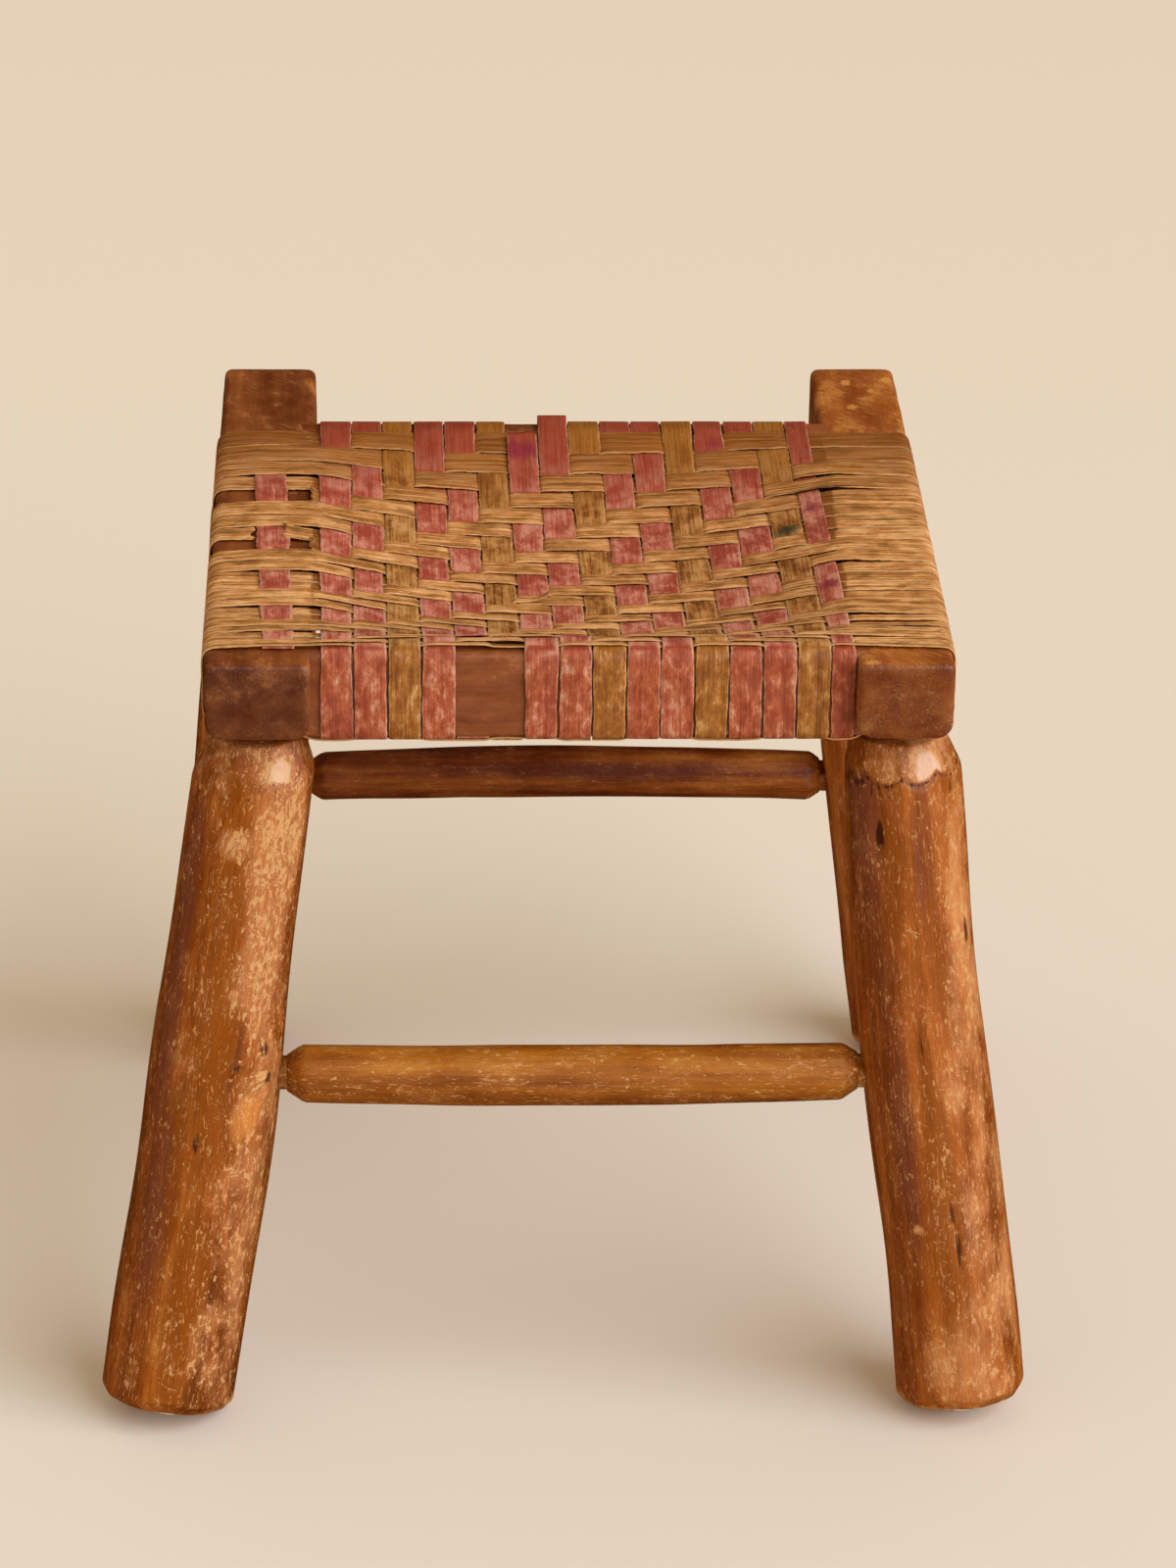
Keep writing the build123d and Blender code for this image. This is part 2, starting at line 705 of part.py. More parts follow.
for column in range(1, warp_count + 1):
    splint(f"warp_splint_{column:02d}", warp_stations(column))

for row in range(1, weft_count + 1):
    splint(f"weft_splint_{row:02d}", weft_stations(row))

# The splint that lies along the left rail, with a short tail at each end
rail_run = merge([warp_cell(0, row, True) for row in range(1, weft_count + 1)])
tail = [Vector(line.back, first_row_y + rail_splint_tail, seat_height + skin) for line in columns[0]]
splint("rail_splint", [Station(tail[0], tail[1], up)] + rail_run)
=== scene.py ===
import math
from collections import namedtuple

import bpy
import numpy as np
from mathutils import Matrix, Vector


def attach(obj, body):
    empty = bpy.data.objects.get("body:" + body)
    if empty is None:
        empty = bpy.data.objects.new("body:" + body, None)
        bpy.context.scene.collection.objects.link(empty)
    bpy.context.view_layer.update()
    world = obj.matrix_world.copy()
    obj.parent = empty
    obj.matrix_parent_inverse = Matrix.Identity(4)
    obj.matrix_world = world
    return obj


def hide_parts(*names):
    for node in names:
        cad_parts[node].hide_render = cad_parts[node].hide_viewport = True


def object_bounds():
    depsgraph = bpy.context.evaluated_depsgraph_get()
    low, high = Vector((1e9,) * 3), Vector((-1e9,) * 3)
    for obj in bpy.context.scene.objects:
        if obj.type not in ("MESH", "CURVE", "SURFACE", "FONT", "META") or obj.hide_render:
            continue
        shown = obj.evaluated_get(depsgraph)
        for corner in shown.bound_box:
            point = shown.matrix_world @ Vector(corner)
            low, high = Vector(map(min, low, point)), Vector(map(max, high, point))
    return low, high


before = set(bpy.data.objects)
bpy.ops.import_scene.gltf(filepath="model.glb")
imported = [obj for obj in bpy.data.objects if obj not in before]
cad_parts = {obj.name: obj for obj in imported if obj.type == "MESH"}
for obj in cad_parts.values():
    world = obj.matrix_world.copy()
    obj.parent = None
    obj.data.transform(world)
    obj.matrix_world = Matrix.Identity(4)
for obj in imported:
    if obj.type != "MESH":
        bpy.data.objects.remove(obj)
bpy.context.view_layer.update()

# Low stool of whittled logs with a seat woven from flat wood splints. Sizes here are millimetres, as on the
# maker's bench, and every mesh is turned to metres when it is made. X is right, Y is back, Z is up. A side is
# -1 on the left and 1 on the right, and an end is -1 at the front and 1 at the back.
MM = 0.001

# Side rails and cross rails
SEAT_HEIGHT = 396.6
RAIL_LENGTH = 381.5
SEAT_X, SEAT_Y = 3.34, 2.97
LEFT_OUTER = SEAT_X - 176.0
RIGHT_OUTER = SEAT_X + 176.0
LEFT_INNER = LEFT_OUTER + 50.2
RIGHT_INNER = RIGHT_OUTER - 46.0
RAIL_FRONT = SEAT_Y - RAIL_LENGTH / 2
RAIL_BACK = SEAT_Y + RAIL_LENGTH / 2
RAIL_BOTTOM = SEAT_HEIGHT - 39.2
RAIL_TOE_IN = 2.0
RAIL_TOP_RADIUS = 4.0
RAIL_BOTTOM_RADIUS = 8.0
CROSS_THICKNESS = 16.0
CROSS_RADIUS = 3.0
CROSS_BOTTOM = SEAT_HEIGHT - 44.2
CROSS_TENON = 10.0
FRONT_FACE = RAIL_FRONT + 13.8
BACK_FACE = RAIL_BACK - 75.8

# Legs and stretchers
LEG_SETBACK = 34.0
LEG_X = {-1: LEFT_OUTER + 25.1, 1: RIGHT_OUTER - 23.0}
LEG_Y = {-1: RAIL_FRONT + LEG_SETBACK, 1: RAIL_BACK - LEG_SETBACK}
LEG_SIDES = 176
SHOULDER_Z = RAIL_BOTTOM - 8.9
SHOULDER_WIDTH = 42.0
SHOULDER_SLOPE = 0.36
LEG_TENON_RADIUS = 10.0
LEG_TENON_DEPTH = 26.0
LOG_BOTTOM = -4.0
FOOT_CHAMFER = 5.0
FRONT_SOLE_SLANT = math.radians(5)
GLIDE_THICKNESS = 6.0
GLIDE_RADIUS = 12.5
GLIDE_WEAR = 1.1
STRETCHER_SIDES = 80
STRETCHER_SLOPE = 0.62
STRETCHER_TENON_RADIUS = 8.5
STRETCHER_SHOULDER_GAP = 2.4
STRETCHER_KNOT = 0.42

# Splints and the seat's sag
THICKNESS = 0.8
CLEARANCE = 0.45
LIFT = (THICKNESS + CLEARANCE) / 2
SKIN = CLEARANCE + THICKNESS / 2
TOP_LEVEL = SEAT_HEIGHT + SKIN + LIFT
UNDER_LEVEL = CROSS_BOTTOM - SKIN - LIFT
WEFTS = 23
WARPS = 16
WARP_WIDTH = 15.2
LAST_WARP_WIDTH = 11.0
RAIL_SPLINT_HALF = 7.8
FIRST_ROW_Y = BACK_FACE - 18.0
ROW_RUN = FIRST_ROW_Y - FRONT_FACE - 4.0
ROW_CROWDING = 0.6
ROW_BOW = 40.0
ROW_GAP = 0.04
BUNCHED_ROWS = (14, 21, WEFTS)
OPENING_MIDDLE = (LEFT_INNER + RIGHT_INNER) / 2
OPENING_HALF = (RIGHT_INNER - LEFT_INNER) / 2
SAG = 18.0
SAG_BACK = BACK_FACE - CROSS_THICKNESS
SAG_FRONT = FRONT_FACE + CROSS_THICKNESS
SAG_LOW = SAG_BACK + (SAG_FRONT - SAG_BACK) * 0.71
UP, DOWN = (0.0, 0.0, 1.0), (0.0, 0.0, -1.0)
TAN_WARPS = (3, 6, 9, 12, 15)
BROKEN_FRONT_WARPS = (5, 6)
BROKEN_FRONT_ROW = 21
BROKEN_BACK_WARP = 7
BROKEN_BACK_RISE = 2.2
RAISED_WARP = 8
RAISED_WARP_RISE = 3.5
WARP_START_ROW = 12
WEFT_START_COLUMN = 8
TORN_LEFT_WEFTS = (5, 9)
SPLIT_LEFT_WEFT = 8
LONG_FLOATS = (1, 2, 5, 6, 7, 8, 11, 12, 13, 14, 17, 18, 21, 22)

Leg = namedtuple("Leg", "name side end foot girth bend turn")
LEG_HEIGHTS = np.array((0.0, 0.22, 0.40, 0.55, 0.70, 0.86, 1.0))
# Foot, girth and sideways bend of each log, with their shares at the heights above, and the turn of its cuts
LEGS = tuple(Leg(name, side, end, (SEAT_X + x, SEAT_Y + y), girth * np.array(girths),
    bend * np.array(bends), turn)
    for name, side, end, x, y, girth, girths, bend, bends, turn in (
    ("front_left_leg", -1, -1, -198.5, -194.8, 66.9, (1.0, 0.99, 0.985, 0.975, 0.91, 0.89, 0.86),
    2.4, (0.0, 0.3, 1.0, 0.5, 0.45, 0.1, 0.0), 30),
    ("front_right_leg", 1, -1, 191.3, -194.8, 65.4, (1.0, 0.955, 0.965, 0.94, 0.915, 0.88, 0.85),
    -3.6, (0.0, -0.15, 0.45, 0.8, 1.0, 0.3, 0.0), 46),
    ("rear_left_leg", -1, 1, -177.0, 190.8, 62.0, (1.0, 0.99, 0.98, 0.97, 0.96, 0.955, 0.95),
    2.0, (0.0, 0.4, 0.8, 1.0, 0.7, 0.3, 0.0), 25),
    ("rear_right_leg", 1, 1, 194.0, 190.8, 62.0, (1.0, 0.99, 0.98, 0.96, 0.95, 0.94, 0.93),
    -2.0, (0.0, 0.3, 0.8, 1.0, 0.7, 0.3, 0.0), 37)))

# Each mark on a log: which way it faces in degrees, its height, half its width, half its length and its
# strength. PALE is a flaked or rubbed patch, and the long broad pale bands on the right sides of the front logs
# are painted light. DARK is a knot or crack, GOLD a streak of clear varnish over yellow wood, and SHADE a band
# of purple brown heartwood, which on the logs' left sides, away from the key light, is painted shade. The
# splints' masks have names of their own.
PALE, DARK, GOLD, SHADE = range(4)
LOG_MASKS = ("pale", "dark", "gold", "shade")
SPLINT_MASKS = ("wear_and_highlight", "age_and_shade", "stained", "wrapped")
LEG_MARKS = {
    "front_left_leg": {
        # The broad band at -42 degrees, facing right, is painted light
        PALE: ((-54, 298, 15, 42, 0.9), (-57, 250, 14, 46, 0.7), (-42, 120, 18, 130, 0.36),
        (-99, 304, 8, 8, 0.9), (-120, 190, 12, 60, 0.12), (-59, 63, 9, 12, 0.5), (-70, 50, 18, 34, 0.28)),
        DARK: ((-97, 155, 2.2, 7, 1.0), (-71, 193, 7, 2.4, 0.8), (-76, 186, 2, 7, 0.8), (-46, 199, 4, 4, 1.1),
        (-50, 180, 7, 1.6, 0.9), (-38, 184, 3, 6, 0.8), (-132, 200, 1.8, 2.4, 0.9), (-54, 132, 4, 4, 0.6),
        (-150, 86, 2, 3, 0.8), (-20, 205, 3, 14, 0.6)),
        GOLD: ((-112, 150, 5, 60, 0.8), (-88, 70, 11, 70, 0.9), (-92, 230, 12, 110, 0.95),
        (-56, 166, 13, 21, 1.6), (-42, 180, 9, 14, 1.3), (-20, 90, 6, 60, 0.6)),
        # The bands at -145 to -127 degrees, on the left side, are painted shade
        SHADE: ((-145, 270, 8, 60, 0.9), (-141, 200, 8, 60, 0.8), (-127, 120, 11, 60, 0.8),
        (-95, 70, 5, 60, 0.4), (-106, 250, 3, 60, 0.5))},
    "front_right_leg": {
        # The broad bands at -38 and -40 degrees, facing right, are painted light
        PALE: ((-70, 177, 8, 11, 0.3), (-117, 107, 2.4, 2.4, 1.2), (-73, 46, 18, 34, 0.4),
        (-106, 34, 14, 20, 0.3), (-38, 230, 16, 110, 0.36), (-148, 290, 5, 30, 0.2),
        (-40, 90, 17, 90, 0.36)),
        DARK: ((-123, 304, 2.8, 10, 1.1), (-36, 253, 3.2, 9, 1.0), (-100, 202, 1.5, 12, 1.0),
        (-81, 99, 1.7, 12, 1.0), (-85, 116, 1.2, 8, 0.8), (-24, 286, 1.4, 14, 0.8),
        (-66, 194, 2, 2.4, 0.7), (-54, 29, 2.2, 3, 0.9), (-92, 300, 1.2, 16, 0.6)),
        GOLD: ((-97, 170, 4, 60, 1.0), (-96, 80, 4, 40, 0.8), (-112, 290, 6, 40, 0.8), (-74, 240, 3, 50, 0.7),
        (-92, 110, 11, 90, 0.85)),
        # The bands at -120 to -138 degrees, on the left side, are painted shade
        SHADE: ((-71, 116, 4, 24, 0.8), (-120, 150, 7, 70, 0.7), (-60, 230, 5, 50, 0.5),
        (-86, 290, 3, 40, 0.6), (-132, 250, 5, 60, 0.5), (-138, 310, 10, 60, 0.9))},
    "rear_left_leg": {
        PALE: ((80, 90, 12, 40, 0.7),),
        DARK: ((-60, 230, 4, 5, 0.8), (95, 240, 4, 6, 0.9)),
        GOLD: ((-70, 160, 7, 60, 0.6), (110, 200, 8, 70, 0.8)),
        SHADE: ((-120, 200, 12, 120, 0.7), (60, 160, 10, 90, 0.8))},
    "rear_right_leg": {
        PALE: ((-78, 220, 2.5, 50, 0.8), (100, 260, 12, 40, 0.7)),
        DARK: ((75, 110, 4, 6, 0.9),),
        GOLD: ((-75, 250, 4, 60, 0.8), (70, 150, 9, 80, 0.8)),
        SHADE: ((-110, 200, 12, 120, 0.8), (120, 160, 9, 100, 0.8))},
    }
# Strength of the dark line of varnish along each log's cuts
CUT_LINES = {"front_left_leg": 0.5, "front_right_leg": 0.9, "rear_left_leg": 0.6, "rear_right_leg": 0.6}
# One knife cut of each front log carries a pale patch, a painted highlight. It is given as a mark.
PAINTED_CUT_HIGHLIGHTS = {"front_left_leg": (-62, 336, 9, 11, 1.15), "front_right_leg": (-63, 335, 9, 14, 1.5)}


# Small helpers

def linear(code):
    """Linear colour of a six digit sRGB code."""
    parts = [int(code[start:start + 2], 16) / 255 for start in (0, 2, 4)]
    return [part / 12.92 if part <= 0.04045 else ((part + 0.055) / 1.055) ** 2.4 for part in parts] + [1.0]


def eased(places, values, at):
    """A table of values read as a smooth curve: straight runs, averaged over a short reach."""
    return np.mean([np.interp(at + step, places, values) for step in np.linspace(-0.07, 0.07, 9)], axis=0)


def ramp(values, low, high):
    """0 at low, 1 at high, which may be the lower number, and straight between them."""
    return np.clip((values - low) / (high - low), 0, 1)


def bell(*terms, power=1.0):
    """1 in the middle of an oval and 0 far off. Each term is a distance and the reach that way."""
    return np.exp(-sum((distance / reach) ** 2 for distance, reach in terms) ** power)


def unit(vectors):
    """Vectors brought to a length of 1."""
    return vectors / np.linalg.norm(vectors, axis=-1, keepdims=True)


def ripple(points, seed, reach):
    """Smooth unevenness from -1 to 1. reach is the size of a swell along each axis."""
    random = np.random.default_rng(seed)
    waves, total = 7, np.zeros(points.shape[:-1])
    for _ in range(waves):
        direction = random.normal(size=3)
        direction /= np.linalg.norm(direction) * np.array(reach) / math.tau
        total += np.sin(points @ direction + random.uniform(0, math.tau))
    return total / waves * 1.6


def raise_mask(masks, channel, values):
    """Bring one mask up to at least these values."""
    masks[..., channel] = np.maximum(masks[..., channel], values)


def placed(name, data):
    """A new object in the scene."""
    made = bpy.data.objects.new(name, data)
    bpy.context.collection.objects.link(made)
    return made


def make_object(name, points, faces, attributes, lines=()):
    """A new smooth object from points in millimetres, with one value a point for each attribute."""
    mesh = bpy.data.meshes.new(name)
    mesh.from_pydata((np.asarray(points) * MM).tolist(), lines, faces)
    for title, values in attributes.items():
        values = np.asarray(values, dtype=np.float32).ravel()
        kind, field = {1: ("FLOAT", "value"), 3: ("FLOAT_VECTOR", "vector"),
            4: ("FLOAT_COLOR", "color")}[len(values) // len(points)]
        mesh.attributes.new(title, kind, "POINT").data.foreach_set(field, values)
    mesh.shade_smooth()
    return placed(name, mesh)


def shell(rings):
    """Points and faces of a closed tube. The first and last rings are single points."""
    points = np.vstack(rings)
    around, last = len(rings[1]), len(points) - 1
    steps = np.arange(around)
    after = (steps + 1) % around
    faces = []
    for low in range(1, last - around, around):
        high = low + around
        faces += np.stack([low + steps, low + after, high + after, high + steps], axis=1).tolist()
    pairs, top = list(zip(steps.tolist(), after.tolist())), last - around
    faces += [(0, 1 + b, 1 + a) for a, b in pairs] + [(last, top + a, top + b) for a, b in pairs]
    middle = points.mean(axis=0)
    corners = [points[[face[k] for face in faces]] - middle for k in range(3)]
    if np.einsum("ij,ij->", corners[0], np.cross(corners[1], corners[2])) < 0:
        faces = [face[::-1] for face in faces]
    return points, faces


# Materials

def add(tree, kind, inputs=None, stops=None, **settings):
    """A new node with its settings, its linked or plain inputs, and the stops of a colour ramp. A kind that
    names no family is a shader node, and a node given as an input stands for its first output."""
    node = tree.nodes.new(kind if "Node" in kind else "ShaderNode" + kind)
    for name, value in settings.items():
        setattr(node, name, value)
    for name, value in (inputs or {}).items():
        if isinstance(value, bpy.types.Node):
            value = value.outputs[0]
        if isinstance(value, bpy.types.NodeSocket):
            tree.links.new(value, node.inputs[name])
        else:
            node.inputs[name].default_value = value
    if stops:
        elements = node.color_ramp.elements
        while len(elements) < len(stops):
            elements.new(1.0)
        for element, (place, colour) in zip(elements, stops):
            element.position = place
            element.color = linear(colour) if isinstance(colour, str) else (colour, colour, colour, 1.0)
    return node


def blank(name):
    """A new material, its tree and its shader."""
    material = bpy.data.materials.new(name)
    material.use_nodes = True
    return material, material.node_tree, material.node_tree.nodes["Principled BSDF"]


def streaks(tree, grain, across, along, detail, roughness=0.55, turn=0.0):
    """Uneven pattern along the grain, of streaks so many millimetres across and along, slanted by turn."""
    if turn:
        grain = add(tree, "VectorRotate", {"Vector": grain, "Angle": turn}, rotation_type="Y_AXIS")
    density = (1 / MM / across, 1 / MM / across, 1 / MM / along)
    scaled = add(tree, "VectorMath", {0: grain, 1: density}, operation="MULTIPLY")
    return add(tree, "TexNoise", {"Vector": scaled, "Scale": 1.0, "Detail": detail, "Roughness": roughness})


def wooden(name, masks, patterns):
    """A wooden piece's new material, tree and shader, and its masks and streaks by name."""
    material, tree, shader = blank(name)
    grain = add(tree, "Attribute", attribute_name="grain").outputs["Vector"]
    marks = add(tree, "Attribute", attribute_name="marks").outputs
    parts = add(tree, "SeparateColor", {"Color": marks["Color"]}).outputs
    given = dict(zip(masks, (*parts, marks["Alpha"])))
    given.update({title: streaks(tree, grain, *sizes) for title, sizes in patterns.items()})
    return material, tree, shader, given


def weighed(tree, given, parts):
    """Weighted sum of several masks and streaks."""
    total = 0.0
    for title, weight in parts.items():
        total = add(tree, "Math", {0: given[title], 1: weight, 2: total}, operation="MULTIPLY_ADD")
    return total


def laid_over(tree, given, colour, *layers):
    """Finishes laid over a base one after the other. Each has its colour and what it follows: none of it lies
    where that is under low, and most of it where that is over high."""
    for finish, parts, low, high, most in layers:
        share = add(tree, "MapRange", {"Value": weighed(tree, given, parts), "From Min": low,
            "From Max": high, "To Max": most}, interpolation_type="SMOOTHSTEP")
        finish = linear(finish) if isinstance(finish, str) else finish
        colour = add(tree, "Mix", {0: share, 6: colour, 7: finish}, data_type="RGBA").outputs[2]
    return colour


def fibred(tree, base, fibres, strength, stops):
    """A base colour darkened and lightened by fibres."""
    lines = add(tree, "ValToRGB", {0: fibres}, stops=stops)
    return add(tree, "Mix", {0: strength, 6: base, 7: lines}, data_type="RGBA",
        blend_type="MULTIPLY").outputs[2]


def surface(tree, shader, colour, gloss, relief, depth, levels):
    """Colour, roughness, relief and plain levels of a material. gloss is a pattern with the roughness at its
    low and its high end, and depth is the relief in millimetres."""
    pattern, low, high = gloss
    rough = add(tree, "MapRange", {"Value": pattern, "From Min": 0.32, "From Max": 0.7, "To Min": low,
        "To Max": high})
    bump = add(tree, "Bump", {"Strength": 1.0, "Distance": depth * MM, "Height": relief})
    for title, output in (("Base Color", colour), ("Roughness", rough.outputs[0]), ("Normal", bump.outputs[0])):
        tree.links.new(output, shader.inputs[title])
    for title, level in levels.items():
        shader.inputs[title].default_value = level


def varnished_log(name, dark, brown, amber, gold, rubbed, flaky):
    """Debarked log under old amber varnish: bands of heartwood run along it, in part painted shade, the varnish
    is rubbed thin and flaked to pale flecks, broad pale bands are painted light, a knife cut carries a painted
    highlight, and it keeps a soft shine."""
    material, tree, shader, given = wooden(name, LOG_MASKS, {
        "bands": (20, 330, 2.0), "veins": (3.4, 85, 4.0, 0.62), "fibres": (1.0, 24, 3.0, 0.6),
        "blotches": (14, 30, 4.0, 0.62), "flakes": (2.4, 4.6, 5.0, 0.74), "dashes": (0.9, 6.0, 2.0),
        "scratches": (0.6, 17, 2.0, 0.55, 1.25)})
    tone = weighed(tree, given, {"bands": 0.5, "veins": 0.26, "blotches": 0.24})
    colour = add(tree, "ValToRGB", {0: tone},
        stops=((0.41, dark), (0.47, brown), (0.54, amber), (0.61, gold)))
    colour = laid_over(tree, given, colour,
        # Purple brown: heartwood, and painted shade on the logs' left sides
        ("7A3E28", {"shade": 1.0, "veins": 0.5}, 0.45, 0.95, 0.65),
        ("8A4404", {"gold": 1.0, "veins": 0.6}, 0.55, 0.95, 0.85),
        # Rubbed patches, and the broad painted light on the logs' right sides
        (rubbed, {"blotches": 0.8, "pale": 0.9}, 0.5, 0.82, 0.75),
        ("C87A34", {"gold": 1.0, "veins": 0.9}, 1.4, 2.0, 0.8))
    colour = fibred(tree, colour, given["fibres"], 1.0, ((0.34, 0.86), (0.5, 1.0), (0.66, 1.08)))
    given["worn"] = weighed(tree, given, {"flakes": 1.0, "pale": 0.16, "blotches": 0.18})
    colour = laid_over(tree, given, colour,
        ("D09A5E", {"worn": 1.0}, 0.69, 0.73, 0.85 * flaky),
        ("C0844A", {"dashes": 1.0, "blotches": 0.2, "pale": 0.06}, 0.72, 0.765, 0.75 * flaky),
        ("D09C6A", {"scratches": 1.0, "blotches": 0.3, "pale": 0.08}, 0.835, 0.87, 0.8 * flaky),
        # Pinkish white, chiefly on the knife cut: a painted highlight
        ("E0B494", {"gold": 0.5, "pale": 1.5, "blotches": 0.4}, 1.9, 2.6, 0.72),
        ("34180C", {"dark": 0.75, "fibres": 2.0}, 1.42, 1.78, 0.9))
    relief = weighed(tree, given, {"fibres": 0.5, "veins": 1.0, "worn": -1.5, "dark": -0.8})
    surface(tree, shader, colour, (given["blotches"], 0.24, 0.46), relief, 0.45,
        {"IOR": 1.5, "Specular IOR Level": 0.22, "Coat Weight": 0.04, "Coat Roughness": 0.2})
    return material


def squared_rail(name, dark, brown, light, worn):
    """Sawn and planed block under worn varnish: even brown with faint grain, rubbed pale on its edges,
    scratched on top, with a low shine. Its sawn ends are darker, because they drink more varnish."""
    material, tree, shader, given = wooden(name, LOG_MASKS, {
        "bands": (16, 190, 3.0), "fibres": (1.0, 30, 3.0, 0.6), "blotches": (13, 22, 5.0, 0.62),
        "dust": (2.0, 3.5, 5.0, 0.7), "scratches": (0.6, 15, 2.0, 0.55, 0.9)})
    colour = add(tree, "ValToRGB", {0: weighed(tree, given, {"bands": 0.6, "blotches": 0.4})},
        stops=((0.38, dark), (0.50, brown), (0.64, light)))
    colour = fibred(tree, colour, given["fibres"], 1.0, ((0.34, 0.9), (0.52, 1.0), (0.68, 1.06)))
    colour = laid_over(tree, given, colour,
        (worn, {"pale": 1.0, "blotches": 0.5, "dust": 0.6}, 0.93, 1.3, 0.8),
        (worn, {"scratches": 1.0, "blotches": 0.3, "gold": 0.08}, 0.83, 0.87, 0.6),
        (worn, {"blotches": 1.0, "dust": 0.35, "gold": 0.06}, 0.78, 0.88, 0.3))
    colour = add(tree, "Mix", {0: given["shade"], 6: colour, 7: linear("CAC2BE")}, data_type="RGBA",
        blend_type="MULTIPLY").outputs[2]
    colour = laid_over(tree, given, colour, ("2A120A", {"dark": 1.0, "dust": 0.7}, 0.75, 1.15, 0.9))
    relief = weighed(tree, given, {"fibres": 0.5, "blotches": 0.8})
    surface(tree, shader, colour, (given["blotches"], 0.3, 0.48), relief, 0.3, {"IOR": 1.5})
    return material


def split_splint(name, tones, edge_and_highlight_colour, front, aged_and_shaded, stain, cloudy, lined):
    """Splint pulled from a split log and worn smooth: fine fibres run along it, its edges are pale, partly
    rubbed and partly a painted highlight, and it has a dull satin look. Dye lies unevenly, with stains, and is
    worn through where it wraps a rail. It darkens with age, and with painted shade where it dives under
    another.
    cloudy is how much of its unevenness is cloudy rather than along the fibres, lined how strong these are."""
    material, tree, shader, given = wooden(name, SPLINT_MASKS, {
        "threads": (1.1, 34, 4.0, 0.68), "strands": (2.4, 60, 3.0, 0.6), "clouds": (9, 14, 5.0, 0.68),
        "blots": (5, 9, 5.0, 0.7), "cracks": (1.15, 130, 2.0)})
    along = (1 - cloudy) / 2
    tone = weighed(tree, given, {"threads": along, "strands": along, "clouds": cloudy})
    colour = add(tree, "ValToRGB", {0: tone}, stops=tuple(zip((0.43, 0.50, 0.58), tones)))
    faces = add(tree, "ValToRGB", {0: weighed(tree, given, {"blots": 0.85, "threads": 0.15})},
        stops=((0.42, front[0]), (0.54, front[1]), (0.68, edge_and_highlight_colour)))
    colour = laid_over(tree, given, colour,
        (faces, {"wrapped": 1.0}, 0.0, 1.0, 0.92),
        # Darker with age, and with painted shade where the splint dives under another
        (aged_and_shaded, {"age_and_shade": 1.0, "clouds": 0.8}, 0.45, 1.3, 0.92),
        (stain, {"stained": 1.0, "blots": 1.2}, 0.95, 1.5, 0.85))
    colour = fibred(tree, colour, given["threads"], lined, ((0.36, 0.58), (0.47, 0.94), (0.62, 1.18)))
    colour = laid_over(tree, given, colour,
        # Pale edges: wear, and in part a painted highlight
        (edge_and_highlight_colour, {"wear_and_highlight": 1.0, "blots": 0.9}, 0.82, 1.2, 0.7),
        ("502C14", {"cracks": 1.0}, 0.375, 0.335, 0.8 * lined))
    relief = weighed(tree, given, {"threads": 1.0, "strands": 1.2})
    surface(tree, shader, colour, (given["clouds"], 0.42, 0.6), relief, 0.34,
        {"IOR": 1.45, "Specular IOR Level": 0.35})
    return material


def speckled(name, scale, stops, roughness, metallic, ior):
    """Small hard part with a speckled surface."""
    material, tree, shader = blank(name)
    place = add(tree, "TexCoord").outputs["Object"]
    specks = add(tree, "TexNoise", {"Vector": place, "Scale": scale, "Detail": 5.0, "Roughness": 0.65})
    colour = add(tree, "ValToRGB", {0: specks}, stops=stops).outputs[0]
    surface(tree, shader, colour, (specks, *roughness), specks, 0.1, {"Metallic": metallic, "IOR": ior})
    return material


left_leg_wood = varnished_log("varnished_log_amber", "683006", "823E06", "9E500C", "B86A1E", "B46C3A", 1.0)
right_leg_wood = varnished_log("varnished_log_light", "78380C", "904810", "A65616", "BA6C26", "C88048", 0.85)
stretcher_wood = varnished_log("varnished_branch", "7A3E08", "8E4C0E", "A05A12", "B06C1E", "AE6A2A", 1.0)
# The rear stretcher gets a darker copy of the branch finish: painted shade, as it sits in the seat's shade
shaded_rear_stretcher_wood = varnished_log("varnished_branch_painted_shade", "5A2204", "763606", "8E4A0A", "A86014", "8C4C10",
    0.2)
left_rail_wood = squared_rail("varnished_block_dark", "6C310E", "864419", "9C5421", "C87C38")
right_rail_wood = squared_rail("varnished_block_light", "8A4012", "9E511B", "B46424", "D89342")
cross_rail_wood = squared_rail("bare_pine_board", "6F3415", "89461D", "A05629", "B77437")
# The splints' colours: three tones, edge (rubbed, and in part a painted highlight), two tones where it wraps
# the front rail, old (also painted shade where a splint dives) and stained
weft_wood = split_splint("split_ash_splint", ("96602A", "C88242", "E8AE70"), "D29E62", ("A0642C", "B87C40"),
    "8A4804", "8A5A38", 0.42, 1.0)
red_wood = split_splint("split_ash_splint_dyed_red", ("A24430", "B85E46", "D0866C"), "D09A7A",
    ("8E3A1C", "AC5630"), "94381C", "8A2232", 0.68, 0.4)
tan_wood = split_splint("split_ash_splint_dyed_tan", ("84481A", "AA6C30", "C28A4C"), "CA9C5C",
    ("84480E", "A26222"), "9A5A14", "3E4224", 0.6, 0.55)
# Moulded nylon, off white and dull, scuffed grey brown where it slides
glide_nylon = speckled("moulded_nylon_scuffed", 420.0, ((0.38, "B09A7C"), (0.50, "D6C7B0"), (0.62, "E8DCCB")),
    (0.45, 0.65), 0.0, 1.53)
# Drawn steel, dull grey with a brown bloom of rust
nail_steel = speckled("drawn_steel_dull", 900.0, ((0.42, "7C7872"), (0.55, "8E8880"), (0.68, "6B4A34")),
    (0.3, 0.6), 1.0, 1.5)


def dress(piece, material):
    """Give an object one material."""
    piece.data.materials.clear()
    piece.data.materials.append(material)


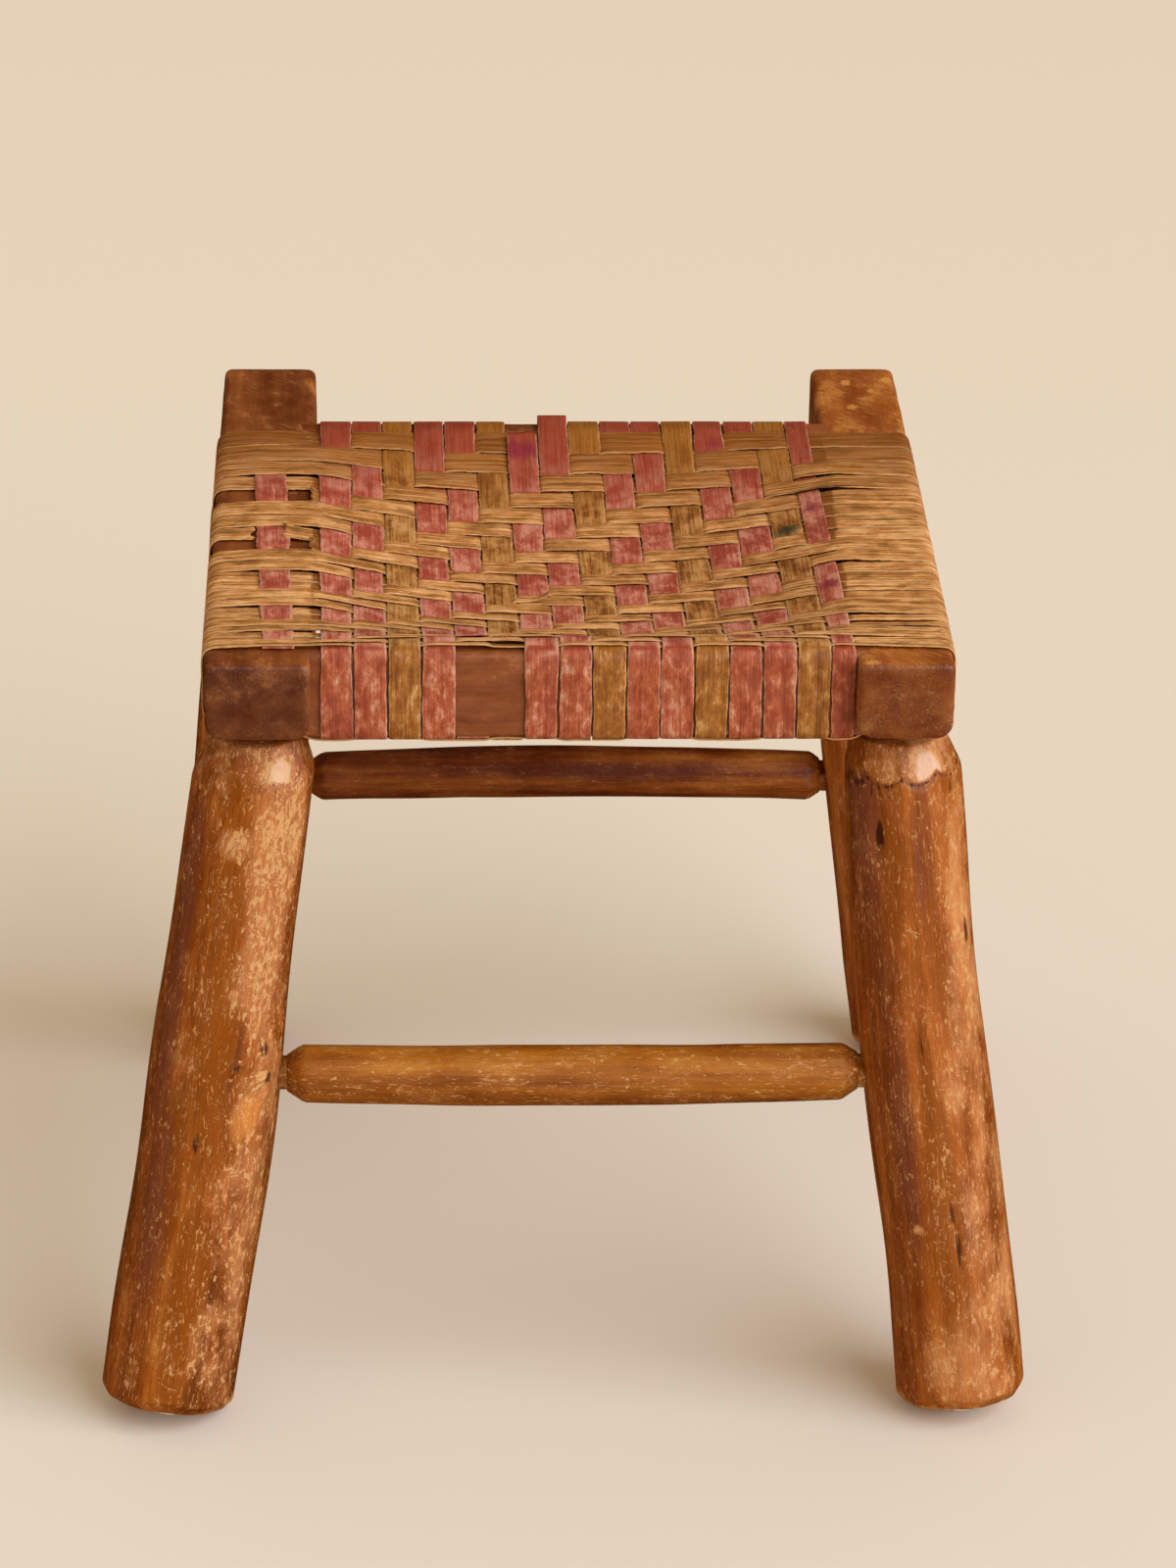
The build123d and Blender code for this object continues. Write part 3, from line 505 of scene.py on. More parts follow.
def finish_piece(piece, slot, *nodes):
    """Give a finished piece its body and hide the CAD nodes that it stands for; its slot is not used."""
    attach(piece, "root")
    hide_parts(*nodes)


def wooden_piece(name, node, slot, material, shape, grain, marks):
    """A finished solid piece of wood."""
    made = make_object(name, *shape, {"grain": grain * MM, "marks": marks})
    dress(made, material)
    finish_piece(made, slot, node)


# Logs

def leg_top(leg):
    """Where the middle of a log meets its shoulder."""
    return np.array((LEG_X[leg.side], LEG_Y[leg.end], SHOULDER_Z))


def sole_normal(leg):
    """Way up from the sawn sole."""
    axis = unit(leg_top(leg) - np.array((*leg.foot, 0.0)))
    return axis if leg.end > 0 else np.array(Matrix.Rotation(-FRONT_SOLE_SLANT, 3, "X") @ Vector(axis))


def leg_foot(leg):
    """Middle of the sole, as high as its glide holds it."""
    upright = sole_normal(leg)
    rise = GLIDE_THICKNESS * upright[2] + GLIDE_RADIUS * math.hypot(upright[0], upright[1]) - GLIDE_WEAR
    return np.array((*leg.foot, rise))


def leg_point(leg, z):
    """Middle of the straight log at one or more heights."""
    top, foot = leg_top(leg), leg_foot(leg)
    return foot + np.multiply.outer((np.asarray(z) - foot[2]) / (top[2] - foot[2]), top - foot)


def along_log(values, z):
    """A log's girth or bend at many heights."""
    return eased(LEG_HEIGHTS, values, (z - LOG_BOTTOM) / (SHOULDER_Z - LOG_BOTTOM))


def facets(angles, drop, count, turn, half, slope, seed):
    """Radius of a whittled cone, a drop below its tip: uneven cuts, and three shallow ones between them."""
    random = np.random.default_rng(seed)
    far = 1e3
    reach = np.full(np.broadcast(angles, drop).shape, far)
    for place in range(count + 3):
        way = turn + math.tau * place / count + random.uniform(-0.1, 0.1)
        cut = half + random.uniform(0.0, 0.8)
        steep = slope * random.uniform(0.92, 1.12)
        if place >= count:
            way = random.uniform(0, math.tau)
            cut, steep = half + random.uniform(3.0, 4.5), slope * random.uniform(0.35, 0.5)
        facing = np.cos(angles - way)
        plane = np.where(facing > 0.2, (cut + steep * drop) / np.maximum(facing, 0.2), far)
        reach = np.minimum(reach, plane)
    return reach


def mark_at(mark, angles, z, radius, grow=1.0, more=0.0, power=1.0):
    """How strongly points of a log lie in a mark, grown by a share or by more, and the turn to each."""
    way, height, half_width, half_length = mark
    turn = (angles - math.radians(way) + math.pi) % math.tau - math.pi
    return bell((turn * radius, half_width * grow + more), (z - height, half_length * grow + 2 * more),
        power=power), turn


def build_leg(leg, seed, material):
    """One log leg, from the middle of its sole to the end of its tenon."""
    angles = np.linspace(0, math.tau, LEG_SIDES, endpoint=False)
    ways = np.stack([np.cos(angles), np.sin(angles), 0 * angles], axis=1)
    foot, upright = leg_foot(leg), sole_normal(leg)
    in_sole = unit(ways - np.outer(ways @ upright, upright))
    chamfer = FOOT_CHAMFER * (1 + 0.18 * np.sin(angles * 3 + seed) + 0.1 * np.sin(angles * 7 + 2 * seed))
    sole_radius = along_log(leg.girth, foot[2]) / 2 - chamfer
    all_marks = LEG_MARKS[leg.name]

    def side(z):
        """Points of the log's side, one for each angle, each at its own height."""
        z = np.broadcast_to(z, angles.shape)
        radius = along_log(leg.girth, z) / 2
        turned = ways * 30 + np.outer(z, (0, 0, 0.35))
        lumps = ripple(turned, seed, (34, 34, 50)) * 0.55 + ripple(turned, seed + 40, (9, 9, 22)) * 0.16
        for *mark, strength in all_marks[DARK]:
            knot = mark_at(mark, angles, z, radius, 1.6)[0]
            is_knot = mark[2] >= 3
            lumps += strength * (1.1 * knot if is_knot else -0.5 * knot ** 2)
        fade = ramp(z, foot[2] + 6, foot[2] + 46)
        radius = radius * 0.9975 - 0.35 + lumps * (0.25 + 0.75 * fade) - 0.35 * (1 - fade)
        whittled = facets(angles, np.maximum(SHOULDER_Z - z, 0), 9, math.radians(leg.turn),
            SHOULDER_WIDTH / 2 - 0.6, SHOULDER_SLOPE, seed)
        points = leg_point(leg, z) + ways * np.minimum(radius, whittled)[:, None]
        points[:, 0] += along_log(leg.bend, z)
        return points

    low = np.full(LEG_SIDES, foot[2])
    for _ in range(6):
        low = foot[2] - ((side(low)[:, :2] - foot[:2]) @ upright[:2]) / upright[2]
    low += chamfer / upright[2]
    rings = [foot] + [foot + in_sole * (sole_radius * share)[:, None]
        for share in (0.35, 0.7, 0.93, 0.985, 1.0)]
    rim, first_side = rings[-1], side(low)
    rings += [rim + (first_side - rim) * share for share in (0.12, 0.5, 0.88)]
    lifts = (0.0, 0.0015, *np.linspace(0, 0.9, 118)[1:], *np.linspace(0.9, 1.0, 52)[1:])
    rings += [side(low + (SHOULDER_Z - low) * lift) for lift in lifts]
    top, shoulder = leg_top(leg), rings[-1]
    axis = unit(top - foot)
    rise = (RAIL_BOTTOM + LEG_TENON_DEPTH - SHOULDER_Z) / axis[2]
    for share in (0.25, 0.6):
        rings.append(shoulder + (top + ways * LEG_TENON_RADIUS - shoulder) * share
            + (0, 0, 0.25 * math.sin(share * math.pi)))
    tenon = ways * (LEG_TENON_RADIUS - 0.1 + 0.08 * np.sin(9 * angles))[:, None]
    rings += [top + tenon + axis * rise * share for share in (0.0, 0.02, 0.15, 0.5, 0.97)]
    rings += [top + ways * (LEG_TENON_RADIUS - 1.0) + axis * (rise - 0.3), top + axis * (rise - 0.3)]
    points, faces = shell(rings)
    z = points[:, 2]
    grain = points - leg_point(leg, z)
    grain[:, 2] = z
    reach, round_log = np.hypot(grain[:, 0], grain[:, 1]), np.arctan2(grain[:, 1], grain[:, 0])
    masks = np.zeros((len(points), 4))
    for channel, marks in all_marks.items():
        for *mark, strength in marks:
            raise_mask(masks, channel, strength * mark_at(mark, round_log, z, reach, power=1.3)[0])
    # Whittled cuts are golden brown with a dark line of varnish along their lower edge, and the rim of the
    # sole is rubbed
    depth = along_log(leg.girth, z) / 2 - reach + along_log(leg.bend, z) * np.cos(round_log)
    near_top = ramp(z, SHOULDER_Z - 26, SHOULDER_Z - 23)
    cut = near_top * ramp(depth, 1.3, 1.8)
    masks *= (1 - 0.8 * cut)[:, None]
    raise_mask(masks, PALE, cut * 0.25 * np.clip(1 + ripple(points, seed + 60, (16, 16, 10)), 0, 1))
    raise_mask(masks, GOLD, cut * 0.9)
    raise_mask(masks, DARK, near_top * CUT_LINES[leg.name] * bell((depth - 1.0, 0.5)))
    # The pale patch on this cut is a painted highlight
    if leg.name in PAINTED_CUT_HIGHLIGHTS:
        *mark, strength = PAINTED_CUT_HIGHLIGHTS[leg.name]
        raise_mask(masks, PALE, cut * strength * mark_at(mark, round_log, z, reach, power=2)[0])
    raise_mask(masks, PALE, 0.55 * ramp(z, foot[2] + 7, foot[2] + 2))
    # The grain bends round each knot
    for *mark, strength in all_marks[DARK]:
        if mark[2] >= 2.2:
            knot, turn = mark_at(mark, round_log, z, reach, more=7)
            turned = (grain[:, 0] + 1j * grain[:, 1]) * np.exp(-0.7j * turn * knot)
            grain[:, 0], grain[:, 1] = turned.real, turned.imag
    grain += np.array((70.0, 40.0, 90.0)) * (seed + 1)
    wooden_piece(leg.name + "_log", leg.name, "leg_wood", material, (points, faces), grain, masks)


def inner_side(leg, z):
    """X of the log's side that faces the other leg."""
    return float(leg_point(leg, z)[0] + along_log(leg.bend, z) - leg.side * along_log(leg.girth, z) / 2)


def build_stretcher(name, end, z, diameter, bow, seed, material):
    """One stretcher: a round branch with whittled ends, one knot and a tenon in each leg."""
    left_leg, right_leg = [leg for leg in LEGS if leg.end == end]
    left, right = leg_point(left_leg, z), leg_point(right_leg, z)
    middle_y = (left[1] + right[1]) / 2
    start = inner_side(left_leg, z) + STRETCHER_SHOULDER_GAP
    stop = inner_side(right_leg, z) - STRETCHER_SHOULDER_GAP
    angles = np.linspace(0, math.tau, STRETCHER_SIDES, endpoint=False)
    ways = np.stack([0 * angles, np.cos(angles), np.sin(angles)], axis=1)
    rings, cuts = [], []
    for share in (*np.linspace(0, 0.14, 22), *np.linspace(0.14, 0.86, 110)[1:-1], *np.linspace(0.86, 1.0, 22)):
        x = start + (stop - start) * share
        turned = ways * 15 + (x * 0.35, 0, 0)
        radius = diameter / 2 * eased((0.0, 0.2, 0.45, 0.7, 1.0), (0.93, 0.98, 1.0, 0.98, 0.94), share) - 0.3
        radius += ripple(turned, seed, (40, 20, 20)) * 0.6 + ripple(turned, seed + 9, (16, 7, 7)) * 0.18
        radius += 1.3 * bell(((angles + 1.2) * 15, 7), ((share - STRETCHER_KNOT) * (stop - start), 8))
        whittled = 0
        for tip, drop in ((0, x - start), (1, stop - x)):
            cut = facets(angles, np.full(STRETCHER_SIDES, drop), 8, 0.3 + tip, STRETCHER_TENON_RADIUS - 0.2,
                STRETCHER_SLOPE, seed + tip)
            whittled = np.maximum(whittled, ramp(radius, cut, cut + 2))
            radius = np.minimum(radius, cut)
        cuts.append(whittled)
        rings.append((x, middle_y, z + 4 * bow * share * (1 - share)) + ways * radius[:, None])
    left_end, right_end = left[0] + 2, right[0] - 2
    tenon = STRETCHER_TENON_RADIUS - 0.3
    before, after = [[(x, middle_y, z) + ways * radius for x, radius in places] for places in (
        ((left_end, tenon - 1), (left_end + 1, tenon), (start - 0.1, tenon)),
        ((stop + 0.1, tenon), (right_end - 1, tenon), (right_end, tenon - 1)))]
    points, faces = shell([(left_end, middle_y, z), *before, *rings, *after, (right_end, middle_y, z)])
    x, y, height = points.T
    masks = np.zeros((len(points), 4))
    masks[:, PALE] = 0.3 + 0.9 * np.clip(ripple(points, seed + 8, (26, 12, 12)), -0.3, 0.8)
    masks[:, PALE] += 0.35 * ramp(height, z - 3, z - 7)
    first = 1 + len(before) * STRETCHER_SIDES
    branch = slice(first, first + len(rings) * STRETCHER_SIDES)
    masks[branch, PALE], masks[branch, GOLD] = np.outer((0.2, 0.5), np.concatenate(cuts))
    knot_x = start + (stop - start) * STRETCHER_KNOT
    masks[:, DARK] = 0.9 * bell((x - knot_x, 5), (y - middle_y, 6), (height - z + 14, 5))
    raise_mask(masks, GOLD, 0.5 * np.clip(ripple(points, seed + 5, (60, 12, 12)), 0, 1))
    # The rear stretcher's left half is darkened as the painted shadow of the seat
    if end > 0:
        masks[:, SHADE] = 0.75 * np.clip(0.5 - (x - start) / (stop - start), 0, 1)
    grain = np.stack([y - middle_y, height - z, x], axis=1)
    grain += 300 * (seed + 1)
    wooden_piece(name + "_branch", name, "stretcher_wood", material, (points, faces), grain, masks)


# Squared rails

def rounded_loop(half_width, half_height, low_radius, high_radius, inset):
    """Points round a block's cross section, and how near each one is to a corner."""
    half_width, half_height = half_width - inset, half_height - inset
    arcs = []
    for side, rise, radius, start in ((1, 1, high_radius, 0), (-1, 1, high_radius, 90),
            (-1, -1, low_radius, 180), (1, -1, low_radius, 270)):
        radius = max(radius - inset, 0.8)
        turns = np.radians(np.linspace(start, start + 90, 8))
        arcs.append(np.array((side * (half_width - radius), rise * (half_height - radius)))
            + radius * np.stack([np.cos(turns), np.sin(turns)], axis=1))
    loop, near, shares = [], [], np.linspace(0, 1, 18)[1:-1]
    for arc, following in zip(arcs, arcs[1:] + arcs[:1]):
        loop += [arc, arc[-1] + np.outer(shares, following[0] - arc[-1])]
        near += [np.ones(len(arc)), np.exp(-np.minimum(shares, 1 - shares) * 16)]
    return np.concatenate(loop), np.concatenate(near)


def build_block(name, ending, start, stop, edges, bottom, radii, axis, seed, material, spots=(), tint=0.0):
    """A planed block from start to stop, on top as high as the seat's rails. edges gives its two side places
    at one place along it, and axis says whether it runs along X or Y."""
    rings, masks = [], []
    end_cuts = ((0.0, 3.0), (0.25, 1.6), (0.9, 0.6), (2.2, 0.12), (4.0, 0.0))
    stations = [(start + gap, inset) for gap, inset in end_cuts]
    stations += [(place, 0.0) for place in np.linspace(start + 6, stop - 6, max(int((stop - start) / 3.2), 12))]
    stations += [(stop - gap, inset) for gap, inset in reversed(end_cuts)]
    for place, inset in stations:
        side_low, side_high = edges(place)
        loop, near = rounded_loop((side_high - side_low) / 2 - 0.12, (SEAT_HEIGHT - bottom) / 2 - 0.12, *radii,
            inset)
        outline = loop + ((side_low + side_high) / 2, (SEAT_HEIGHT + bottom) / 2)
        spots_at = np.insert(outline, 1, place, axis=1)
        dent = 0.22 + 0.2 * ripple(spots_at, seed, (30, 46, 30)) + near * 0.3 * np.clip(
            0.4 + ripple(spots_at, seed + 3, (14, 20, 14)), 0, 1)
        outline = outline - unit(loop - loop.mean(axis=0)) * np.clip(dent, 0.02, 1.0)[:, None]
        rings.append(np.insert(outline, 1, place, axis=1))
        masks.append(np.maximum(near * 0.42, 0.45 if 0.3 < inset < 1.8 else 0.0))

    def sawn(ring):
        """Rings from the rim of a sawn end to its middle."""
        middle = ring.mean(axis=0)
        return [middle + (ring - middle) * share for share in (0.8, 0.5, 0.2)] + [middle]

    points, faces = shell(sawn(rings[0])[::-1] + rings + sawn(rings[-1]))
    marks = np.zeros((len(points), 4))
    quiet = (len(points) - sum(map(len, masks))) // 2
    marks[quiet:-quiet, PALE] = np.concatenate(masks)
    marks[:, GOLD] = tint
    x, y, z = points.T
    marks[:, SHADE] = np.clip(2 - np.minimum(y - start, stop - y) / 1.2, 0, 1)
    for channel, across, along, up, reach_across, reach_along, strength in spots:
        raise_mask(marks, channel, strength * bell((x - across, reach_across), (y - along, reach_along),
            (z - up, 6.0), power=1.4))
    grain = np.stack([x, z, y], axis=1) + 170.0 * (seed + 1)
    if axis == "X":
        points, faces = points[:, [1, 0, 2]], [face[::-1] for face in faces]
    wooden_piece(f"{name}_{ending}", name + "_rail", name.split("_")[1] + "_rail_wood", material,
        (points, faces), grain, marks)


def rail_outer(side, y):
    """X of a side rail's outer face at one place along it."""
    return (LEFT_OUTER if side < 0 else RIGHT_OUTER) - side * RAIL_TOE_IN * (y - RAIL_FRONT) / RAIL_LENGTH


for seed, (leg, wood) in enumerate(zip(LEGS, (left_leg_wood, right_leg_wood) * 2)):
    build_leg(leg, seed, wood)

build_stretcher("front_stretcher", -1, 175.6, 30.0, -2.0, 11, stretcher_wood)
build_stretcher("rear_stretcher", 1, 169.8, 28.0, 3.0, 12, shaded_rear_stretcher_wood)

# A spot on a side rail: its kind, place, reach across and along the rail, and strength
LEFT_SPOTS = ((PALE, -142, 142, SEAT_HEIGHT, 5, 4, 0.6), (DARK, -128, -176, 366, 8, 12, 0.4),
    (PALE, -150, 170, SEAT_HEIGHT, 14, 9, 0.35), (PALE, -148, -183, SEAT_HEIGHT, 16, 4, 0.4))
RIGHT_SPOTS = ((PALE, 151, 172, SEAT_HEIGHT, 4, 6, 0.8), (PALE, 172, 176, SEAT_HEIGHT, 4, 5, 0.9),
    (PALE, 163, 160, SEAT_HEIGHT, 4, 5, 0.7), (PALE, 152, 138, SEAT_HEIGHT, 4, 5, 0.8),
    (DARK, 152, -144, SEAT_HEIGHT, 22, 6, 1.2), (PALE, 140, -184, SEAT_HEIGHT, 6, 4, 0.7))
for name, edges, *look in (
        ("left_side", lambda y: (rail_outer(-1, y), LEFT_INNER), 21, left_rail_wood, LEFT_SPOTS, 0.5),
        ("right_side", lambda y: (RIGHT_INNER, rail_outer(1, y)), 22, right_rail_wood, RIGHT_SPOTS, 1.0)):
    build_block(name, "block", RAIL_FRONT, RAIL_BACK, edges, RAIL_BOTTOM, (RAIL_BOTTOM_RADIUS, RAIL_TOP_RADIUS),
        "Y", *look)
for name, edges, seed in (("front_cross", (FRONT_FACE, FRONT_FACE + CROSS_THICKNESS), 23),
        ("back_cross", (BACK_FACE - CROSS_THICKNESS, BACK_FACE), 24)):
    build_block(name, "board", LEFT_INNER - CROSS_TENON, RIGHT_INNER + CROSS_TENON, lambda x: edges,
        CROSS_BOTTOM, (CROSS_RADIUS, CROSS_RADIUS), "X", seed, cross_rail_wood)


# The weave. Each splint is first a path of stations, each with the splint's two edge points, front or left one
# first, and the way out of the seat. A place along it is counted in wefts from the back.

def row_share(row):
    """How far along the woven part a place lies. Rows crowd towards the front."""
    share = row / WEFTS
    return share + ROW_CROWDING * share * (1 - share)


def across_share(x):
    """Place across the seat opening, from -1 at the left rail to 1 at the right one."""
    return np.clip((x - OPENING_MIDDLE) / OPENING_HALF, -1.0, 1.0)


def line_x(line, row):
    """X of a splint's edge line at a place."""
    return line[0] + (line[1] - line[0]) * row_share(row)


def row_y(row, x):
    """Y of a place. Rows bow towards the front at both rails."""
    share = row / WEFTS
    return FIRST_ROW_Y - ROW_RUN * row_share(row) - ROW_BOW * share * (1 - share) * across_share(x) ** 2


def top_z(x, y):
    """Height of the seat's upper surface, between warps and wefts."""
    reach = np.where(y > SAG_LOW, SAG_BACK, SAG_FRONT) - SAG_LOW
    along = np.minimum(1.0, np.abs((y - SAG_LOW) / reach))
    return TOP_LEVEL - SAG * (1 - np.abs(across_share(x)) ** 2.3) * (1 - along ** 2.9)


# Two edge lines, each with its X at the back and at the front, of the rail splint and then of each warp
COLUMNS = [[(rail_outer(-1, FIRST_ROW_Y) + 25.1 + half, rail_outer(-1, FRONT_FACE) + 35.14 + half)
    for half in (-RAIL_SPLINT_HALF, RAIL_SPLINT_HALF)]]
for column in range(WARPS):
    width = LAST_WARP_WIDTH if column == WARPS - 1 else WARP_WIDTH
    back, front = LEFT_INNER + 2.4 + 15.7 * column, LEFT_INNER + 4.4 + 16.0 * column
    COLUMNS.append(((back, front), (back + width, front + width)))


def warp_over(row, column):
    """Whether the warp lies above the weft, in a two over, two under twill."""
    if column == WARPS:
        return row in LONG_FLOATS
    if row <= 3 and column == BROKEN_BACK_WARP:
        return True
    return (row, column) != (1, 0) and (row + max(column, 1)) % 4 in (1, 2)


def turning(across, z, radius, quarter):
    """Turning points of a wrap round one rounded edge: place, height and way out."""
    return [(across + radius * math.cos(angle), z + radius * math.sin(angle), math.cos(angle), math.sin(angle))
        for angle in np.radians(np.linspace(*quarter, 7))]


def woven(line, place, offset, way):
    """Where an edge line meets a place, raised from the middle of the upper or the lower layer."""
    x = line_x(line, place)
    y = row_y(place, x)
    return x, y, top_z(x, y) + offset if way == UP else UNDER_LEVEL - offset


def edges_of(row):
    """Places of a weft's front and back edge."""
    return row - ROW_GAP, row - 1 + ROW_GAP


def joined(cells):
    """All stations of several cells, one after the other."""
    return [station for cell in cells for station in cell]


def warp_cell(column, row, way):
    """Two end stations of a warp where it crosses one weft, back end first on top."""
    broken = column == BROKEN_BACK_WARP
    ends = []
    for place in (row - (0.78 if broken and row == 1 else 1) + ROW_GAP, row - ROW_GAP):
        offset = LIFT if warp_over(row, column) else -LIFT
        if broken and way == UP:
            offset += BROKEN_BACK_RISE * max(0.0, 1 - place / 3.2)
        ends.append((*[woven(line, place, offset, way) for line in COLUMNS[column]], way))
    return ends if way == UP else ends[::-1]


def weft_cell(row, column, way):
    """Two end stations of a weft where it crosses one warp, left end first on top."""
    offset = -LIFT if warp_over(row, column) else LIFT
    ends = [(*[woven(line, place, offset, way) for place in edges_of(row)], way) for line in COLUMNS[column]]
    return ends if way == UP else ends[::-1]


def is_top(quarter):
    """Whether a quarter turn, from one angle to another, goes round an upper edge."""
    return sum(quarter) in (90, 270)


def warp_wrap(column, face, end, angles, rise=0.0):
    """Stations of a warp round both edges of a cross rail."""
    left_x, right_x = [line_x(line, 0 if end > 0 else WEFTS) for line in COLUMNS[column]]
    stations = []
    for quarter in zip(angles, angles[1:]):
        middle_z = SEAT_HEIGHT - CROSS_RADIUS + rise if is_top(quarter) else CROSS_BOTTOM + CROSS_RADIUS
        stations += [((left_x, y, z), (right_x, y, z), (0.0, out_y, out_z)) for y, z, out_y, out_z in
            turning(face - end * CROSS_RADIUS, middle_z, CROSS_RADIUS + SKIN, quarter)]
    return stations


def warp_stations(column):
    """The whole run of one warp, from the end where it starts."""
    rows = range(1, WEFTS + 1)
    edge_z = TOP_LEVEL + (LIFT if warp_over(1, column) else -LIFT)
    edge = (*[(line_x(line, 0), SAG_BACK, edge_z) for line in COLUMNS[column]], UP)
    front_wrap = warp_wrap(column, FRONT_FACE, -1, (90, 180, 270))
    rise = RAISED_WARP_RISE if column == RAISED_WARP else 0
    back_wrap = warp_wrap(column, BACK_FACE, 1, (-90, 0, 90), rise) + [edge]
    top_cells = [warp_cell(column, row, UP) for row in rows]
    under_cells = [warp_cell(column, row, DOWN) for row in reversed(rows)]
    if column == BROKEN_BACK_WARP:
        return joined(top_cells) + front_wrap + joined(under_cells)
    if column in BROKEN_FRONT_WARPS:
        return joined(under_cells) + back_wrap + joined(top_cells[:BROKEN_FRONT_ROW])
    cut = WEFTS - WARP_START_ROW
    return joined(under_cells[cut:]) + back_wrap + joined(top_cells) + front_wrap + joined(under_cells[:cut])


def side_y(place, bunched):
    """Y of a weft's edge beside a side rail, or bunched under it round the front leg's tenon."""
    y = row_y(place, RIGHT_INNER)
    before = LEG_Y[-1] - LEG_TENON_RADIUS - 1.4
    behind = LEG_Y[-1] + LEG_TENON_RADIUS + 1.4
    start_y, split_y, end_y = [row_y(row, RIGHT_INNER) for row in BUNCHED_ROWS]
    if not bunched or y > start_y:
        return y
    if y > split_y:
        return start_y + (y - start_y) * (start_y - behind) / (start_y - split_y)
    return before + (y - split_y) * (before - end_y) / (split_y - end_y)


def weft_wrap(row, side, angles):
    """Stations of a weft round both edges of a side rail."""
    stations = []
    for quarter in zip(angles, angles[1:]):
        at_top = is_top(quarter)
        radius = RAIL_TOP_RADIUS if at_top else RAIL_BOTTOM_RADIUS
        middle_z = SEAT_HEIGHT - radius if at_top else RAIL_BOTTOM + radius
        front, back = [[((x, y, z), (out_x, 0.0, out_z)) for x, z, out_x, out_z in
            turning(rail_outer(side, y) - side * radius, middle_z, radius + SKIN, quarter)]
            for y in [side_y(place, not at_top) for place in edges_of(row)]]
        stations += [(first, second, out) for (first, out), (second, _) in zip(front, back)]
    return stations


def weft_level(row, x, z, way=UP, bunched=False):
    """Station of a weft at one x and one height."""
    ys = [side_y(place, True) if bunched else row_y(place, x) for place in edges_of(row)]
    return (x, ys[0], z), (x, ys[1], z), way


def weft_at_edge(row, column, x, way):
    """Station of a weft at the inner edge of a side rail."""
    inward = LIFT if warp_over(row, column) else -LIFT
    return weft_level(row, x, TOP_LEVEL - inward if way == UP else UNDER_LEVEL + inward, way)


def weft_pass(row, side):
    """Station under a side rail's inner part, past the leg's tenon."""
    return weft_level(row, LEG_X[side] - side * (LEG_TENON_RADIUS + 2.8), RAIL_BOTTOM - SKIN, DOWN, True)


def weft_stations(row):
    """The whole run of one weft, from the end where it starts."""
    columns = range(1, WARPS + 1)
    top_run = joined(weft_cell(row, column, UP) for column in columns)
    under_cells = [weft_cell(row, column, DOWN) for column in reversed(columns)]
    top_and_right = (top_run + [weft_at_edge(row, WARPS, RIGHT_INNER + RAIL_TOP_RADIUS, UP)]
        + weft_wrap(row, 1, (90, 0, -90))
        + [weft_pass(row, 1), weft_at_edge(row, WARPS, RIGHT_INNER, DOWN)])
    if row in TORN_LEFT_WEFTS:
        return [weft_at_edge(row, 1, LEFT_INNER - 0.8, UP)] + top_and_right + joined(under_cells)
    inner_edge = weft_at_edge(row, 1, LEFT_INNER - RAIL_TOP_RADIUS, UP)
    left_side = [weft_at_edge(row, 1, LEFT_INNER, DOWN), weft_pass(row, -1)]
    left_side += weft_wrap(row, -1, (270, 180, 90))
    if row == SPLIT_LEFT_WEFT:
        strip_left, strip_right = [line_x(line, row) for line in COLUMNS[0]]
        start = [weft_level(row, strip_right + out, inner_edge[0][2] + up)
            for out, up in ((-3.0, 1.1), (3.0, 0.8))]
        return (start + [inner_edge] + top_and_right + joined(under_cells) + left_side
            + [weft_level(row, strip_left - 2.2, SEAT_HEIGHT + SKIN)])
    cut = WARPS - WEFT_START_COLUMN
    return (joined(under_cells[cut:]) + left_side + weft_cell(row, 0, UP) + [inner_edge] + top_and_right
        + joined(under_cells[:cut]))


# The two geometry trees that turn flat paths into solid splints and loose fibres

def new_tree(name, **sockets):
    """An empty geometry tree that takes geometry, a material and named numbers."""
    tree = bpy.data.node_groups.new(name, "GeometryNodeTree")
    tree.interface.new_socket(name="Geometry", in_out="INPUT", socket_type="NodeSocketGeometry")
    keys = {title: tree.interface.new_socket(name=title, in_out="INPUT",
        socket_type="NodeSocket" + kind).identifier
        for title, kind in {**sockets, "Material": "Material"}.items()}
    tree.interface.new_socket(name="Geometry", in_out="OUTPUT", socket_type="NodeSocketGeometry")
    return tree, keys, add(tree, "NodeGroupInput").outputs


def end_tree(tree, given, geometry):
    """Make a tree's result real and give it the material."""
    real = add(tree, "GeometryNodeRealizeInstances", {"Geometry": geometry})
    done = add(tree, "GeometryNodeSetMaterial", {"Geometry": real, "Material": given["Material"]})
    add(tree, "NodeGroupOutput", {"Geometry": done})


